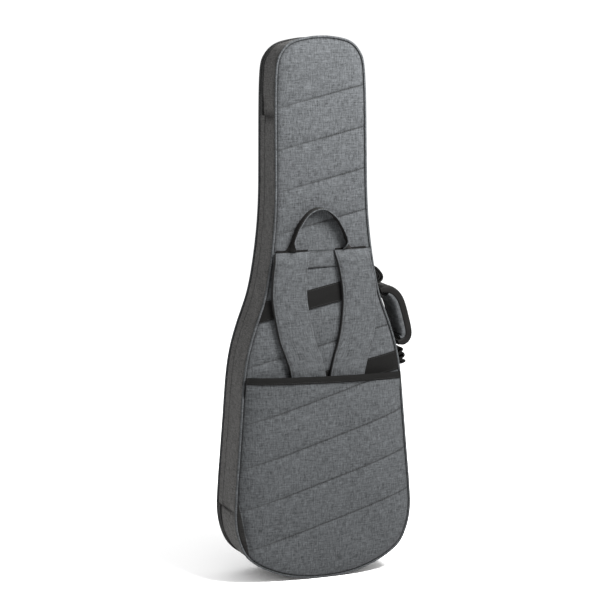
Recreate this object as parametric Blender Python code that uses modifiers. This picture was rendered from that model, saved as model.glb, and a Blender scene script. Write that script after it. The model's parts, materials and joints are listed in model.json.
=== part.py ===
"""Padded guitar gig bag: back shell, opening lid, pockets, zips, handles and shoulder straps.

Frame: +Z up the neck, -Y out of the back (the strap side), +Y out of the lid, +X to the side
with the carry handle. The lid is sewn on along -X. The origin is the inside of the grab loop's
crown, the point that the bag hangs from. Every shape below is drawn in "bag" coordinates, whose
zero is the lowest point of the base in the plane of the back, and an empty carries them there.
"""
import math

import bpy
import bmesh
from mathutils import Matrix, Vector

MM = 0.001
GAP = 0.3 * MM

# Overall sizes
HEIGHT = 1050 * MM
DEPTH_BASE = 125 * MM
DEPTH_HEAD = 96 * MM
# Half width of the back at heights up the bag: round base, body, waist, neck, head
HALF_OUTLINE = [(0, 0), (5, 57), (23, 112), (55, 158), (108, 178), (160, 179), (225, 174), (310, 167),
                (395, 160), (450, 151), (500, 136), (550, 118), (605, 106), (680, 96), (760, 91.5),
                (900, 90.5), (985, 88), (1018, 80), (1039, 60), (1047.5, 30), (1050, 0)]

# Walls
PANEL_THICK = 11 * MM
PANEL_BACK = -2 * MM
GUSSET_THICK = 8 * MM
LINING_THICK = 1.5 * MM
PIPING_R = 2.2 * MM
ZIP_LINE = 14 * MM
ZIP_TAPE = 12 * MM
HINGE_TOP = 900 * MM
HINGE_BOTTOM = 140 * MM

# Back of the bag
RIM_Z = 403 * MM
RIM_TAPE = 11 * MM
POCKET_BULGE = 19 * MM
POCKET_CLOTH = 4 * MM
YOKE_LOW = 611 * MM
YOKE_HIGH = 646 * MM
WEB_WIDE = 38 * MM
WEB_THICK = 1.3 * MM
WEB_RISE = 0.2
WEB_HIGH_Z = 557 * MM
WEB_LOW_Z = 391 * MM

# Shoulder straps: pivot heights, and (height, distance from the middle) of the strap's centre
STRAP_TOP, STRAP_MID, STRAP_LOW = 648 * MM, 530 * MM, 412 * MM
STRAP_LINE = [(645, 60), (600, 69), (550, 71.5), (500, 65), (455, 54), (412, 42), (360, 37), (320, 36)]
STRAP_HALF = 33.5 * MM
STRAP_IN = -5 * MM
STRAP_THICK = 12 * MM

# Grab loop and carry handle
LOOP_X = -10 * MM
LOOP_HALF = 54 * MM
LOOP_FOOT_Z = 662 * MM
LOOP_CROWN_Z = 729 * MM
LOOP_BAND = 3 * MM
HANDLE_Y = 56 * MM
HANDLE_WIDE = 60 * MM
HANDLE_THICK = 13 * MM
HANDLE_PATH = [(131, 554), (148, 554), (165, 548), (176, 530), (187, 496), (192, 470),
               (190, 459), (182, 453), (169, 453)]


def curve_through(points, per_span):
    """Catmull-Rom curve through 2D points, with per_span steps between neighbours."""
    ends = [points[0], *points, points[-1]]
    out = []
    for i in range(len(points) - 1):
        a, b, c, d = (Vector(p) for p in ends[i:i + 4])
        for k in range(per_span):
            t = k / per_span
            out.append(0.5 * (2 * b + (c - a) * t + (2 * a - 5 * b + 4 * c - d) * t ** 2
                              + (3 * b - a - 3 * c + d) * t ** 3))
    out.append(Vector(points[-1]))
    return out


def make_outline():
    """Points (x, z) once round the bag from the middle of the base, and their outward normals."""
    mirrored = [(-HALF_OUTLINE[1][1], HALF_OUTLINE[1][0])]
    middle = [(w, z) for z, w in HALF_OUTLINE]
    mirrored_top = [(-HALF_OUTLINE[-2][1], HALF_OUTLINE[-2][0])]
    spans = curve_through(mirrored + middle + mirrored_top, 2)[2:-2]
    right = [Vector((max(p.x, 0), p.y)) * MM for p in spans]
    left = [Vector((-p.x, p.y)) for p in reversed(right[1:-1])]
    points = right + left
    normals = []
    for i, _ in enumerate(points):
        step = points[(i + 1) % len(points)] - points[i - 1]
        normals.append(Vector((step.y, -step.x)).normalized())
    return points, normals


OUTLINE, NORMALS = make_outline()


def half_width(z):
    """Half width of the bag at a height."""
    right = OUTLINE[:len(OUTLINE) // 2 + 1]
    for a, b in zip(right, right[1:]):
        if a.y <= z <= b.y:
            return a.x + (b.x - a.x) * (z - a.y) / (b.y - a.y)
    return 0.0


def side_angle(z):
    """Lean of the +X side at a height: the angle from +Z towards +X."""
    step = 5 * MM
    return math.atan2(half_width(z + step) - half_width(z - step), 2 * step)


def depth(z):
    """Distance from the back to the outer face of the lid at a height."""
    return DEPTH_BASE + (DEPTH_HEAD - DEPTH_BASE) * z / HEIGHT


TILT = math.atan2(DEPTH_BASE - DEPTH_HEAD, HEIGHT)


def inset(i, amount):
    return OUTLINE[i] - NORMALS[i] * amount


# ---------------------------------------------------------------- scene and helpers
for old in list(bpy.data.objects):
    bpy.data.objects.remove(old, do_unlink=True)
bag = bpy.data.collections.new("padded_gig_bag")
bpy.context.scene.collection.children.link(bag)
hang_point = bpy.data.objects.new("hang_point", None)
bag.objects.link(hang_point)
hang_point.location = (-LOOP_X, 14 * MM, -(LOOP_CROWN_Z - LOOP_BAND))


def material(name, colour, roughness, metallic=0.0):
    mat = bpy.data.materials.new(name)
    mat.use_nodes = True
    shader = mat.node_tree.nodes["Principled BSDF"]
    shader.inputs["Base Color"].default_value = (*colour, 1)
    shader.inputs["Roughness"].default_value = roughness
    shader.inputs["Metallic"].default_value = metallic
    return mat


GREY = material("grey_melange_cloth", (0.17, 0.18, 0.19), 0.9)
SIDE = material("grey_side_cloth", (0.11, 0.11, 0.105), 0.9)
LINING = material("dark_lining", (0.03, 0.03, 0.033), 0.85)
BLACK_WEB = material("black_webbing", (0.012, 0.011, 0.012), 0.75)
ZIP_CLOTH = material("zip_cloth", (0.015, 0.015, 0.016), 0.7)
RUBBER = material("handle_rubber", (0.014, 0.013, 0.013), 0.6)
FOAM = material("foam", (0.05, 0.05, 0.055), 0.95)
METAL = material("black_metal", (0.03, 0.03, 0.03), 0.35, 0.9)
PLASTIC = material("black_plastic", (0.015, 0.015, 0.015), 0.45)


def place(obj, mat, parent=None):
    """Give an object its material and carry it, from bag coordinates, on the hang point."""
    bag.objects.link(obj)
    obj.data.materials.clear()
    obj.data.materials.append(mat)
    obj.parent = parent or hang_point
    return obj


def solidify(obj, thick, offset=-1.0):
    mod = obj.modifiers.new("thickness", "SOLIDIFY")
    mod.thickness = thick
    mod.offset = offset
    mod.use_even_offset = True
    return obj


def flat_piece(name, points, thick, mat, location=(0, 0, 0), turn=(math.pi / 2, 0, 0)):
    """A flat outline, drawn in x and z, extruded through half its thickness both ways in y."""
    curve = bpy.data.curves.new(name, "CURVE")
    curve.dimensions = "2D"
    curve.fill_mode = "BOTH"
    curve.extrude = thick / 2
    spline = curve.splines.new("POLY")
    spline.points.add(len(points) - 1)
    for spot, p in zip(spline.points, points):
        spot.co = (p[0], p[1], 0, 1)
    spline.use_cyclic_u = True
    obj = bpy.data.objects.new(name, curve)
    obj.location = location
    obj.rotation_euler = turn
    return place(obj, mat)


def panel(name, amount, y_mid, thick, mat, tilt=0.0):
    """The bag's whole outline, drawn in by an amount, as a flat padded panel."""
    points = [inset(i, amount) for i in range(len(OUTLINE))]
    return flat_piece(name, points, thick, mat, (0, y_mid, 0), (math.pi / 2 + tilt, 0, 0))


def strip_mesh(name, rows, mat, closed=False):
    """An open surface through rows of points, each row one line across it."""
    bm = bmesh.new()
    lines = [[bm.verts.new(p) for p in row] for row in rows]
    pairs = list(zip(lines, lines[1:]))
    if closed:
        pairs.append((lines[-1], lines[0]))
    for low, high in pairs:
        for k in range(len(low) - 1):
            bm.faces.new((low[k], low[k + 1], high[k + 1], high[k]))
    mesh = bpy.data.meshes.new(name)
    bm.to_mesh(mesh)
    bm.free()
    return place(bpy.data.objects.new(name, mesh), mat)


def stations(low, high, side):
    """Numbers of the outline's points between two heights on one side, +1 or -1, going up."""
    count = len(OUTLINE)
    half = range(0, count // 2 + 1) if side > 0 else range(count // 2, count + 1)
    return [i % count for i in half if low <= OUTLINE[i % count].y <= high]


def wall(name, numbers, outer, thick, y_from, y_to, mat):
    """A strip of side wall through numbered outline points, thick inwards from its outer face."""
    rows = []
    for i in numbers:
        p = inset(i, outer)
        z = OUTLINE[i].y
        rows.append([(p.x, y_from(z), p.y), (p.x, y_to(z), p.y)])
    obj = strip_mesh(name, rows, mat)
    return solidify(obj, thick)


def box(name, size, location, mat, turn=(0, 0, 0), bevel=0.0, parent=None):
    mesh = bpy.data.meshes.new(name)
    bm = bmesh.new()
    bmesh.ops.create_cube(bm, size=1, matrix=Matrix.Diagonal((*size, 1)))
    bm.to_mesh(mesh)
    bm.free()
    obj = bpy.data.objects.new(name, mesh)
    obj.location = location
    obj.rotation_euler = turn
    if bevel:
        mod = obj.modifiers.new("rounding", "BEVEL")
        mod.width = bevel
        mod.segments = 1
    return place(obj, mat, parent)


# ---------------------------------------------------------------- back shell
def build_walls():
    count = len(OUTLINE)
    front = PANEL_BACK + PANEL_THICK + GAP
    panel("rear_panel", 2.6 * MM, PANEL_BACK + PANEL_THICK / 2, PANEL_THICK, GREY)
    panel("rear_lining", GUSSET_THICK + 3 * MM, front + LINING_THICK / 2, LINING_THICK, LINING)
    zip_edge = lambda z: depth(z) - ZIP_LINE - 0.4 * MM
    hinge_edge = lambda z: depth(z) - PANEL_THICK - 0.3 * MM
    start = lambda z: front
    right = stations(HINGE_BOTTOM, HINGE_TOP, 1)
    left = stations(HINGE_BOTTOM, HINGE_TOP, -1)
    head = [i % count for i in range(right[-1], left[0] + 1)]
    base = [i % count for i in range(left[-1], count + right[0] + 1)]
    walls = (("zip_side_gusset", right, zip_edge), ("head_gusset", head, zip_edge),
             ("hinge_side_gusset", left, hinge_edge), ("base_gusset", base, zip_edge))
    for name, numbers, edge in walls:
        wall(name, numbers, 0.6 * MM, GUSSET_THICK, start, edge, SIDE)
    zipped = [i % count for i in range(left[-1], count + left[0] + 1)]
    tape_in = lambda z: depth(z) - ZIP_LINE - ZIP_TAPE
    wall("zip_tape_shell", zipped, -0.9 * MM, 1.2 * MM, tape_in, zip_edge, ZIP_CLOTH)
    lid_in = lambda z: depth(z) - ZIP_LINE + 0.4 * MM
    lid_out = lambda z: depth(z) - PANEL_THICK - 0.6 * MM
    wall("zip_tape_lid", zipped, -0.9 * MM, 2.4 * MM, lid_in, lid_out, ZIP_CLOTH)


def trim_ends(names, amount):
    """Draw in the two ends of open wall strips, so that neighbours keep a gap."""
    for name in names:
        mesh = bpy.data.objects[name].data
        verts = mesh.vertices
        for here, inward in ((0, 2), (1, 3), (len(verts) - 2, len(verts) - 4),
                             (len(verts) - 1, len(verts) - 3)):
            step = (verts[inward].co - verts[here].co).normalized()
            verts[here].co += step * amount


def bead(name, y_of):
    """Piping all round the outline."""
    curve = bpy.data.curves.new(name, "CURVE")
    curve.dimensions = "3D"
    curve.bevel_depth = PIPING_R
    curve.bevel_resolution = 1
    spline = curve.splines.new("POLY")
    spline.points.add(len(OUTLINE) - 1)
    for spot, p in zip(spline.points, OUTLINE):
        spot.co = (p.x, y_of(p.y), p.y, 1)
    spline.use_cyclic_u = True
    return place(bpy.data.objects.new(name, curve), GREY)


def pocket_sheet(name, side, low, high, edge, bulge, thick, mat, part=(0.0, 1.0), across=10, up=8):
    """A pocket's cloth: sewn at the sides and the bottom, standing off the panel at its mouth.

    side is -1 on the back and +1 on the lid, edge how far it keeps inside the outline, and part
    the stretch of the height, from 0 at the bottom to 1 at the mouth, that this piece covers.
    """
    rows = []
    for j in range(up + 1):
        v = part[0] + (part[1] - part[0]) * j / up
        z = low + (high - low) * v
        row = []
        for i in range(across + 1):
            u = 2 * i / across - 1
            lift = 0.6 * MM + bulge * (1 - u ** 4) * (1 - (1 - v) ** 4)
            y = PANEL_BACK - lift if side < 0 else depth(z) + lift
            row.append((u * (half_width(z) - edge), y, z))
        rows.append(row)
    obj = strip_mesh(name, rows, mat)
    return solidify(obj, thick, 1.0 if side < 0 else -1.0)


def web_band(name, x_from, x_to, z_mid):
    half = WEB_WIDE / 2 / math.cos(math.atan(WEB_RISE))
    low = [(x, z_mid + x * WEB_RISE - half) for x in (x_from, x_to)]
    high = [(x, z_mid + x * WEB_RISE + half) for x in (x_to, x_from)]
    y = PANEL_BACK - GAP - WEB_THICK / 2
    return flat_piece(name, low + high, WEB_THICK, BLACK_WEB, (0, y, 0))


def build_back():
    low, edge = 12 * MM, 5 * MM
    tape = RIM_TAPE / (RIM_Z - low)
    pocket_sheet("rear_pocket_panel", -1, low, RIM_Z, edge, POCKET_BULGE, POCKET_CLOTH, GREY,
                 (0.0, 1 - tape))
    pocket_sheet("rear_pocket_binding", -1, low, RIM_Z, edge, POCKET_BULGE, POCKET_CLOTH, BLACK_WEB,
                 (1 - tape + GAP / (RIM_Z - low), 1.0), up=1)
    yoke_half = 84 * MM
    yoke = [(-yoke_half, YOKE_LOW), (yoke_half, YOKE_LOW), (yoke_half, YOKE_HIGH), (-yoke_half, YOKE_HIGH)]
    flat_piece("strap_yoke", yoke, 2 * MM, GREY, (0, PANEL_BACK - GAP - 1 * MM, 0))
    web_band("upper_web_band", -104 * MM, 98 * MM, WEB_HIGH_Z)
    web_band("lower_web_band", -95 * MM, 145 * MM, WEB_LOW_Z)


def build_inside():
    """Neck cradle with its slot, the foam block at the base, and the sewn strap over the neck."""
    half, slot, z, tall = 78 * MM, 29 * MM, 730 * MM, 60 * MM
    back = PANEL_BACK + PANEL_THICK + LINING_THICK + 2 * GAP
    shape = [(-half, back), (half, back), (half, 60 * MM), (slot, 60 * MM), (slot, 28 * MM),
             (-slot, 28 * MM), (-slot, 60 * MM), (-half, 60 * MM)]
    flat_piece("neck_cradle", shape, tall, FOAM, (0, 0, z), (0, 0, 0))
    box("neck_strap", (116 * MM, 2 * MM, 36 * MM), (0, 61.6 * MM, z), BLACK_WEB)
    arch = [(-95, 30), (-60, 19), (0, 14), (60, 19), (95, 30), (70, 46), (-70, 46)]
    points = [(x * MM, y * MM) for x, y in arch]
    block_deep = 70 * MM
    flat_piece("end_block", points, block_deep, FOAM, (0, back + block_deep / 2, 0))


# ---------------------------------------------------------------- lid
def build_lid():
    mid = DEPTH_BASE - PANEL_THICK / 2 + 0.5 * MM
    thick = PANEL_THICK - 1 * MM
    panel("front_panel", 2.6 * MM, mid, thick, GREY, TILT)
    inner = mid - thick / 2 - GAP - LINING_THICK / 2 - 0.4 * MM
    panel("lid_lining", GUSSET_THICK + 5 * MM, inner, LINING_THICK, LINING, TILT)
    bead("front_piping", lambda z: depth(z) - PIPING_R - 1 * MM)
    pocket_sheet("front_pocket", 1, 30 * MM, 430 * MM, 22 * MM, 20 * MM, 3.5 * MM, GREY)
    pocket_sheet("neck_pocket", 1, 560 * MM, 880 * MM, 18 * MM, 13 * MM, 3 * MM, GREY, up=5)
    for name, z, half, lift in (("front_pocket_zip", 441 * MM, 118 * MM, 7 * MM),
                                ("neck_pocket_zip", 890 * MM, 60 * MM, 6 * MM)):
        y = depth(z) + 0.8 * MM + lift / 2
        box(name, (2 * half, lift, 12 * MM), (0, y, z), ZIP_CLOTH, (TILT, 0, 0), 1 * MM)


# ---------------------------------------------------------------- zips
SLIDER = Vector((10, 6, 13)) * MM
PULL = Vector((9, 2, 21)) * MM
SLIDER_UP_Z = 588 * MM
SLIDER_LOW_Z = 574 * MM


def build_main_sliders():
    """Two sliders of the main zip meet on the +X side, each with a hanging tab."""
    for name, z, hook in (("upper", SLIDER_UP_Z, 4 * MM), ("lower", SLIDER_LOW_Z, -4.5 * MM)):
        lean = side_angle(z)
        out = Vector((math.cos(lean), 0, -math.sin(lean)))
        up = Vector((math.sin(lean), 0, math.cos(lean)))
        skin = Vector((half_width(z), depth(z) - ZIP_LINE, z))
        middle = skin + out * (1.8 * MM + SLIDER.y / 2)
        box("zip_slider_" + name, (SLIDER.y, SLIDER.x, SLIDER.z), middle, METAL, (0, lean, 0), 1 * MM)
        pivot = skin + up * hook + out * (1.8 * MM + SLIDER.y + GAP + PULL.y / 2)
        tab = pivot - up * (PULL.z / 2)
        box("zip_pull_" + name, (PULL.y, PULL.x, PULL.z), tab, PLASTIC, (0, lean, 0), 0.8 * MM)


def build_pocket_sliders():
    """A slider for each lid pocket, its tab lying along the zip."""
    for name, z, x, lift in (("front_pocket", 441 * MM, -96 * MM, 7 * MM),
                             ("neck_pocket", 890 * MM, -40 * MM, 6 * MM)):
        y = depth(z) + 1.2 * MM + lift
        box(name + "_slider", (SLIDER.z, SLIDER.y, SLIDER.x), (x, y + SLIDER.y / 2, z), METAL,
            (TILT, 0, 0), 1 * MM)
        y_pull = y + SLIDER.y + GAP + PULL.y / 2
        box(name + "_pull", (PULL.z, PULL.y, PULL.x), (x - PULL.z / 2, y_pull, z), PLASTIC,
            (TILT, 0, 0), 0.8 * MM)


# ---------------------------------------------------------------- handles
def build_grab_loop():
    """A band on edge, standing out from the back at the crown and lying flat at its feet."""
    rows = []
    steps = 16
    for k in range(steps + 1):
        a = math.pi * k / steps
        lift = math.sin(a)
        x = LOOP_X - LOOP_HALF * math.cos(a)
        z = LOOP_FOOT_Z + (LOOP_CROWN_Z - LOOP_FOOT_Z) * lift ** 0.8
        near = -7 * MM - 17 * MM * min(1.0, lift * 1.6)
        rows.append([(x, near, z), (x, -4 * MM, z)])
    solidify(strip_mesh("grab_loop", rows, GREY), LOOP_BAND, -1.0)


def thick_path(points, low, high):
    """The outline of a band between two distances off a path, low on its left, high on its right."""
    path = [Vector(p) * MM for p in points]
    left, right = [], []
    for i, p in enumerate(path):
        ahead = path[min(i + 1, len(path) - 1)] - path[max(i - 1, 0)]
        normal = Vector((ahead.y, -ahead.x)).normalized()
        left.append(p + normal * low)
        right.append(p + normal * high)
    return left + right[::-1]


def build_carry_handle():
    """The moulded grip with its lining, and the two anchors sewn to the gusset."""
    half = HANDLE_THICK / 2
    path = [tuple(p) for p in curve_through(HANDLE_PATH, 2)]
    flat_piece("carry_handle_grip", thick_path(path, -half, half), HANDLE_WIDE, RUBBER, (0, HANDLE_Y, 0))
    inner = path[3:-3]
    lining = thick_path(inner, half + 3 * GAP, half + 5 * MM)
    flat_piece("carry_handle_lining", lining, HANDLE_WIDE - 4 * MM, SIDE, (0, HANDLE_Y, 0))
    stand, across = 17 * MM, HANDLE_WIDE - 14 * MM
    for name, z, tall in (("handle_anchor_top", 584 * MM, 30 * MM), ("handle_anchor_low", 419 * MM, 32 * MM)):
        lean = side_angle(z)
        out = Vector((math.cos(lean), 0, -math.sin(lean)))
        middle = Vector((half_width(z), HANDLE_Y, z)) + out * (stand / 2 + 1 * MM)
        box(name, (stand, across, tall), middle, BLACK_WEB, (0, lean, 0), 3 * MM)


# ---------------------------------------------------------------- shoulder straps
def strap_piece(name, side, low, high, half, mat, y_in, thick):
    """A stretch of strap between two heights, following the strap's centre line."""
    line = [Vector((x, z)) * MM for z, x in STRAP_LINE]
    fine = curve_through([tuple(p) for p in line], 3)
    inside = [p for p in fine if low + 2 * MM < p.y < high - 2 * MM]

    def centre(z):
        for a, b in zip(fine, fine[1:]):
            if b.y <= z <= a.y:
                return a.x + (b.x - a.x) * (z - a.y) / (b.y - a.y)
        return fine[-1].x

    middle = [Vector((centre(high), high)), *inside, Vector((centre(low), low))]
    inner = [(side * (p.x - half), p.y) for p in middle]
    outer = [(side * (p.x + half), p.y) for p in reversed(middle)]
    flat_piece(name, inner + outer, thick, mat, (0, y_in - thick / 2, 0))


def build_straps():
    for word, side in (("left", -1), ("right", 1)):
        for part, low, high in (("upper", STRAP_MID + 1 * MM, STRAP_TOP - 3 * MM),
                                ("lower", STRAP_LOW + 1 * MM, STRAP_MID - 1 * MM),
                                ("end", 335 * MM, STRAP_LOW - 1 * MM)):
            strap_piece(f"strap_{word}_{part}", side, low, high, STRAP_HALF, GREY, STRAP_IN, STRAP_THICK)
        strap_piece(f"strap_{word}_webbing", side, 268 * MM, 335 * MM - GAP, WEB_WIDE / 2, BLACK_WEB,
                    -10 * MM, 2.5 * MM)
        box(f"strap_{word}_buckle", (44 * MM, 5 * MM, 26 * MM), (side * 31.5 * MM, -11 * MM, 254.5 * MM),
            PLASTIC, bevel=1.5 * MM)
        box(f"strap_{word}_tab", (30 * MM, 2 * MM, 34 * MM), (side * 118 * MM, -4 * MM, 82 * MM), BLACK_WEB)
        box(f"strap_{word}_d_ring", (40 * MM, 4 * MM, 26 * MM), (side * 118 * MM, -5 * MM, 114 * MM),
            METAL, bevel=1 * MM)


build_walls()
trim_ends(("zip_side_gusset", "head_gusset", "hinge_side_gusset", "base_gusset"), GAP)
trim_ends(("zip_tape_shell", "zip_tape_lid"), 3 * MM)
bead("rear_piping", lambda z: 0.0)
build_back()
build_inside()
build_lid()
build_main_sliders()
build_pocket_sliders()
build_grab_loop()
build_carry_handle()
build_straps()
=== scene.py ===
"""Looks of a padded guitar gig bag: heather cloth, quilting, zips, webbing, straps and handles.

Shapes are drawn in bag millimetres: x across from the middle, y from the plane of the back piping
towards the lid, z up from the lowest point of the base. The frame says where that zero lies.
"""
import json
import math

import bmesh
import bpy
import numpy as np
from mathutils import Matrix, Vector, noise


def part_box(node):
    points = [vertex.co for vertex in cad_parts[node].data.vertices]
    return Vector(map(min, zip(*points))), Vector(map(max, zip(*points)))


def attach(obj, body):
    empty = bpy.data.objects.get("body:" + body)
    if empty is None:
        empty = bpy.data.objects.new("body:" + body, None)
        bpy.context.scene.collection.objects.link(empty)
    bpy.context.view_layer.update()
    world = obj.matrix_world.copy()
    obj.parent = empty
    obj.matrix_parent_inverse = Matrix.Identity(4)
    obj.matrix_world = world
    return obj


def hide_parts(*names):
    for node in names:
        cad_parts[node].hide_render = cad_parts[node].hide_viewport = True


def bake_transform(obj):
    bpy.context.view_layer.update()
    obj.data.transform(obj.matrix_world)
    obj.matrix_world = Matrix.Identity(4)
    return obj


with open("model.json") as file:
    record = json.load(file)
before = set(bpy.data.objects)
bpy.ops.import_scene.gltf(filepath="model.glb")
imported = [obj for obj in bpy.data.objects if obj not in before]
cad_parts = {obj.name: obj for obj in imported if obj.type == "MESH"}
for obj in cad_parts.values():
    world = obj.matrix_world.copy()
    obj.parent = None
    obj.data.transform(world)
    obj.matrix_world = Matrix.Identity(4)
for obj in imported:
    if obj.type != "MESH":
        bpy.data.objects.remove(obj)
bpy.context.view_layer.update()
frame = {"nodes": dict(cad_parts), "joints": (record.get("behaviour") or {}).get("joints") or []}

MM = 0.001

# ---------------------------------------------------------------- measures read from the frame


def points_of(node):
    return np.array([v.co for v in frame["nodes"][node].data.vertices], float)


PIPING_LOW, PIPING_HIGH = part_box("rear_piping")
PIPING_R = (PIPING_HIGH.y - PIPING_LOW.y) / 2 / MM
ZERO = Vector(((PIPING_LOW.x + PIPING_HIGH.x) / 2, (PIPING_LOW.y + PIPING_HIGH.y) / 2,
               PIPING_LOW.z + PIPING_R * MM))
TALL = (PIPING_HIGH.z - ZERO.z) / MM - PIPING_R
HEAD_DROP, HEAD_START, HEAD_DEEP = 7.0, 955, 90


def to_bag(point):
    """World metres to bag millimetres."""
    return (np.asarray(point, float) - np.array(ZERO)) / MM


def to_world(point):
    """World coordinates of bag millimetres; the head's top slopes down towards the lid."""
    point = np.array(point, float)
    lidward = np.clip(point[..., 1] / HEAD_DEEP, 0, 1)
    point[..., 2] -= HEAD_DROP * smooth(HEAD_START, TALL, point[..., 2]) * lidward
    return point * MM + np.array(ZERO)


def curve_between(a, b, c, d, t):
    """A Catmull-Rom curve from b to c, at share t."""
    return 0.5 * (2 * b + (c - a) * t + (2 * a - 5 * b + 4 * c - d) * t ** 2
                  + (3 * b - a - 3 * c + d) * t ** 3)


def unit_rows(vectors):
    return vectors / np.linalg.norm(vectors, axis=1)[:, None]


def run_of(points):
    """The distance run along a line, at each of its points."""
    return np.concatenate([[0], np.cumsum(np.linalg.norm(np.diff(points, axis=0), axis=1))])


def read_outline():
    """The piping's line, x and z, once round from the middle of the base by +X."""
    face = to_bag(points_of("rear_panel"))
    face = face[face[:, 1] < face[:, 1].min() + 0.5][:, [0, 2]]
    face = np.unique(face.round(3), axis=0)
    turn = np.arctan2(face[:, 0], 0.38 * TALL - face[:, 1]) % (2 * math.pi)
    ring = face[np.argsort(turn)]
    fine = []
    count = len(ring)
    for i in range(count):
        corners = [ring[(i + k) % count] for k in (-1, 0, 1, 2)]
        fine += [curve_between(*corners, t) for t in (0.0, 0.25, 0.5, 0.75)]
    fine = np.array(fine)
    along = np.roll(fine, -1, 0) - np.roll(fine, 1, 0)
    normal = unit_rows(np.stack([along[:, 1], -along[:, 0]], 1))
    seam = (PIPING_HIGH.x - PIPING_LOW.x) / 2 / MM - PIPING_R - ring[:, 0].max()
    return fine + normal * seam, normal


OUTLINE, NORMALS = read_outline()
COUNT = len(OUTLINE)
ALONG = run_of(np.vstack([OUTLINE, OUTLINE[:1]]))
RIGHT = OUTLINE[:COUNT // 2]
RIGHT = RIGHT[np.argsort(RIGHT[:, 1])]


def half_width(z):
    return np.interp(z, RIGHT[:, 1], RIGHT[:, 0])


def read_lid_plane():
    face = to_bag(points_of("front_panel"))
    low = face[face[:, 2] < 60]
    high = face[face[:, 2] > TALL - 60]
    a, b = low[np.argmax(low[:, 1])], high[np.argmax(high[:, 1])]
    slope = (b[1] - a[1]) / (b[2] - a[2])
    return a[1] - slope * a[2], slope


LID_BASE, LID_SLOPE = read_lid_plane()


def lid_y(z):
    """The plane of the lid's outer face at a height."""
    return LID_BASE + LID_SLOPE * np.asarray(z, float)


def smooth(low, high, value):
    t = np.clip((np.asarray(value, float) - low) / (high - low), 0, 1)
    return t * t * (3 - 2 * t)


def bag_box(node):
    low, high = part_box(node)
    return to_bag(low), to_bag(high)


def box_middle(node):
    return sum(bag_box(node)) / 2


def side_lean(z):
    """How far the outline leans from upright at a height, as an angle."""
    return math.atan2(float(half_width(z + 5) - half_width(z - 5)), 10)


def joint_spot(name):
    """A hinge's point, in bag millimetres."""
    found = next(j for j in frame["joints"] if j["name"] == name)
    return to_bag(found["pos_m"])


RIM_Z = bag_box("rear_pocket_binding")[1][2]
YOKE_LOW, YOKE_HIGH = bag_box("strap_yoke")[0][2], bag_box("strap_yoke")[1][2]
STRAP_TOP = joint_spot("strap_left_top")[2]
STRAP_MID = joint_spot("strap_left_mid")[2]
STRAP_LOW = joint_spot("strap_left_low")[2]
# The side cloth runs past the CAD's side gussets to its cross seams
GUSSET_LOW = bag_box("hinge_side_gusset")[0][2] - 20
GUSSET_HIGH = bag_box("hinge_side_gusset")[1][2] + 71.5
ZIP_Y = 14.0

# ---------------------------------------------------------------- materials


class Value:
    """A shader socket that can be added, multiplied and so on, like a number."""

    def __init__(self, paint, socket):
        self.paint = paint
        self.socket = socket

    def _sum(self, operation, *others):
        return self.paint.node("ShaderNodeMath", {"operation": operation}, (self, *others))

    def __add__(self, other):
        return self._sum("ADD", other)

    def __sub__(self, other):
        return self._sum("SUBTRACT", other)

    def __mul__(self, other):
        return self._sum("MULTIPLY", other)

    def __rsub__(self, other):
        return self * -1 + other

    __radd__ = __add__
    __rmul__ = __mul__

    def sine(self):
        return self._sum("SINE")

    def size(self):
        return self._sum("ABSOLUTE")

    def ranged(self, low, high, to_low=0.0, to_high=1.0):
        return self.paint.node("ShaderNodeMapRange", {"clamp": True},
                               (self, low, high, to_low, to_high))


class Paint:
    """One material's node tree, ending in a Principled shader."""

    def __init__(self, name, **fixed):
        self.material = bpy.data.materials.new(name)
        self.material.use_nodes = True
        self.tree = self.material.node_tree
        self.shader = self.tree.nodes["Principled BSDF"]
        for socket, value in fixed.items():
            self.shader.inputs[socket.replace("_", " ")].default_value = value

    def node(self, kind, settings, inputs=(), out=0):
        made = self.tree.nodes.new(kind)
        for key, value in settings.items():
            setattr(made, key, value)
        pairs = inputs.items() if isinstance(inputs, dict) else enumerate(inputs)
        for key, value in pairs:
            if isinstance(value, Value):
                self.tree.links.new(value.socket, made.inputs[key])
            else:
                made.inputs[key].default_value = value
        return Value(self, made.outputs[out])

    def uv(self):
        """The cloth's own length and width, in millimetres."""
        flat = self.node("ShaderNodeUVMap", {"uv_map": "cloth"})
        return self.scaled(flat, (1000, 1000, 1000))

    def place(self):
        spot = self.node("ShaderNodeTexCoord", {}, (), "Object")
        return self.scaled(spot, (1000, 1000, 1000))

    def scaled(self, vector, by):
        return self.node("ShaderNodeVectorMath", {"operation": "MULTIPLY"}, (vector, by))

    def axis(self, vector, number):
        return self.node("ShaderNodeSeparateXYZ", {}, (vector,), number)

    def noise(self, vector, scale=1.0, detail=2.0, rough=0.5):
        return self.node("ShaderNodeTexNoise", {"noise_dimensions": "3D"},
                         {"Vector": vector, "Scale": scale, "Detail": detail, "Roughness": rough})

    def mix(self, factor, first, second):
        return self.node("ShaderNodeMix", {"data_type": "RGBA"},
                         {0: factor, 6: first, 7: second}, 2)

    def feed(self, socket, value):
        self.tree.links.new(value.socket, self.shader.inputs[socket])

    def bump(self, height, strength, distance):
        bumped = self.node("ShaderNodeBump", {}, {"Strength": strength, "Distance": distance,
                                                  "Height": height})
        self.feed("Normal", bumped)


WEAVE, NAP = 0.9, 1.4


def grey(level, warm=0.0):
    """A near-neutral colour: level is its brightness, warm above 0 leans brown, below 0 blue."""
    return (level * (1 + warm), level, level * (1 - warm), 1)


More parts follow.
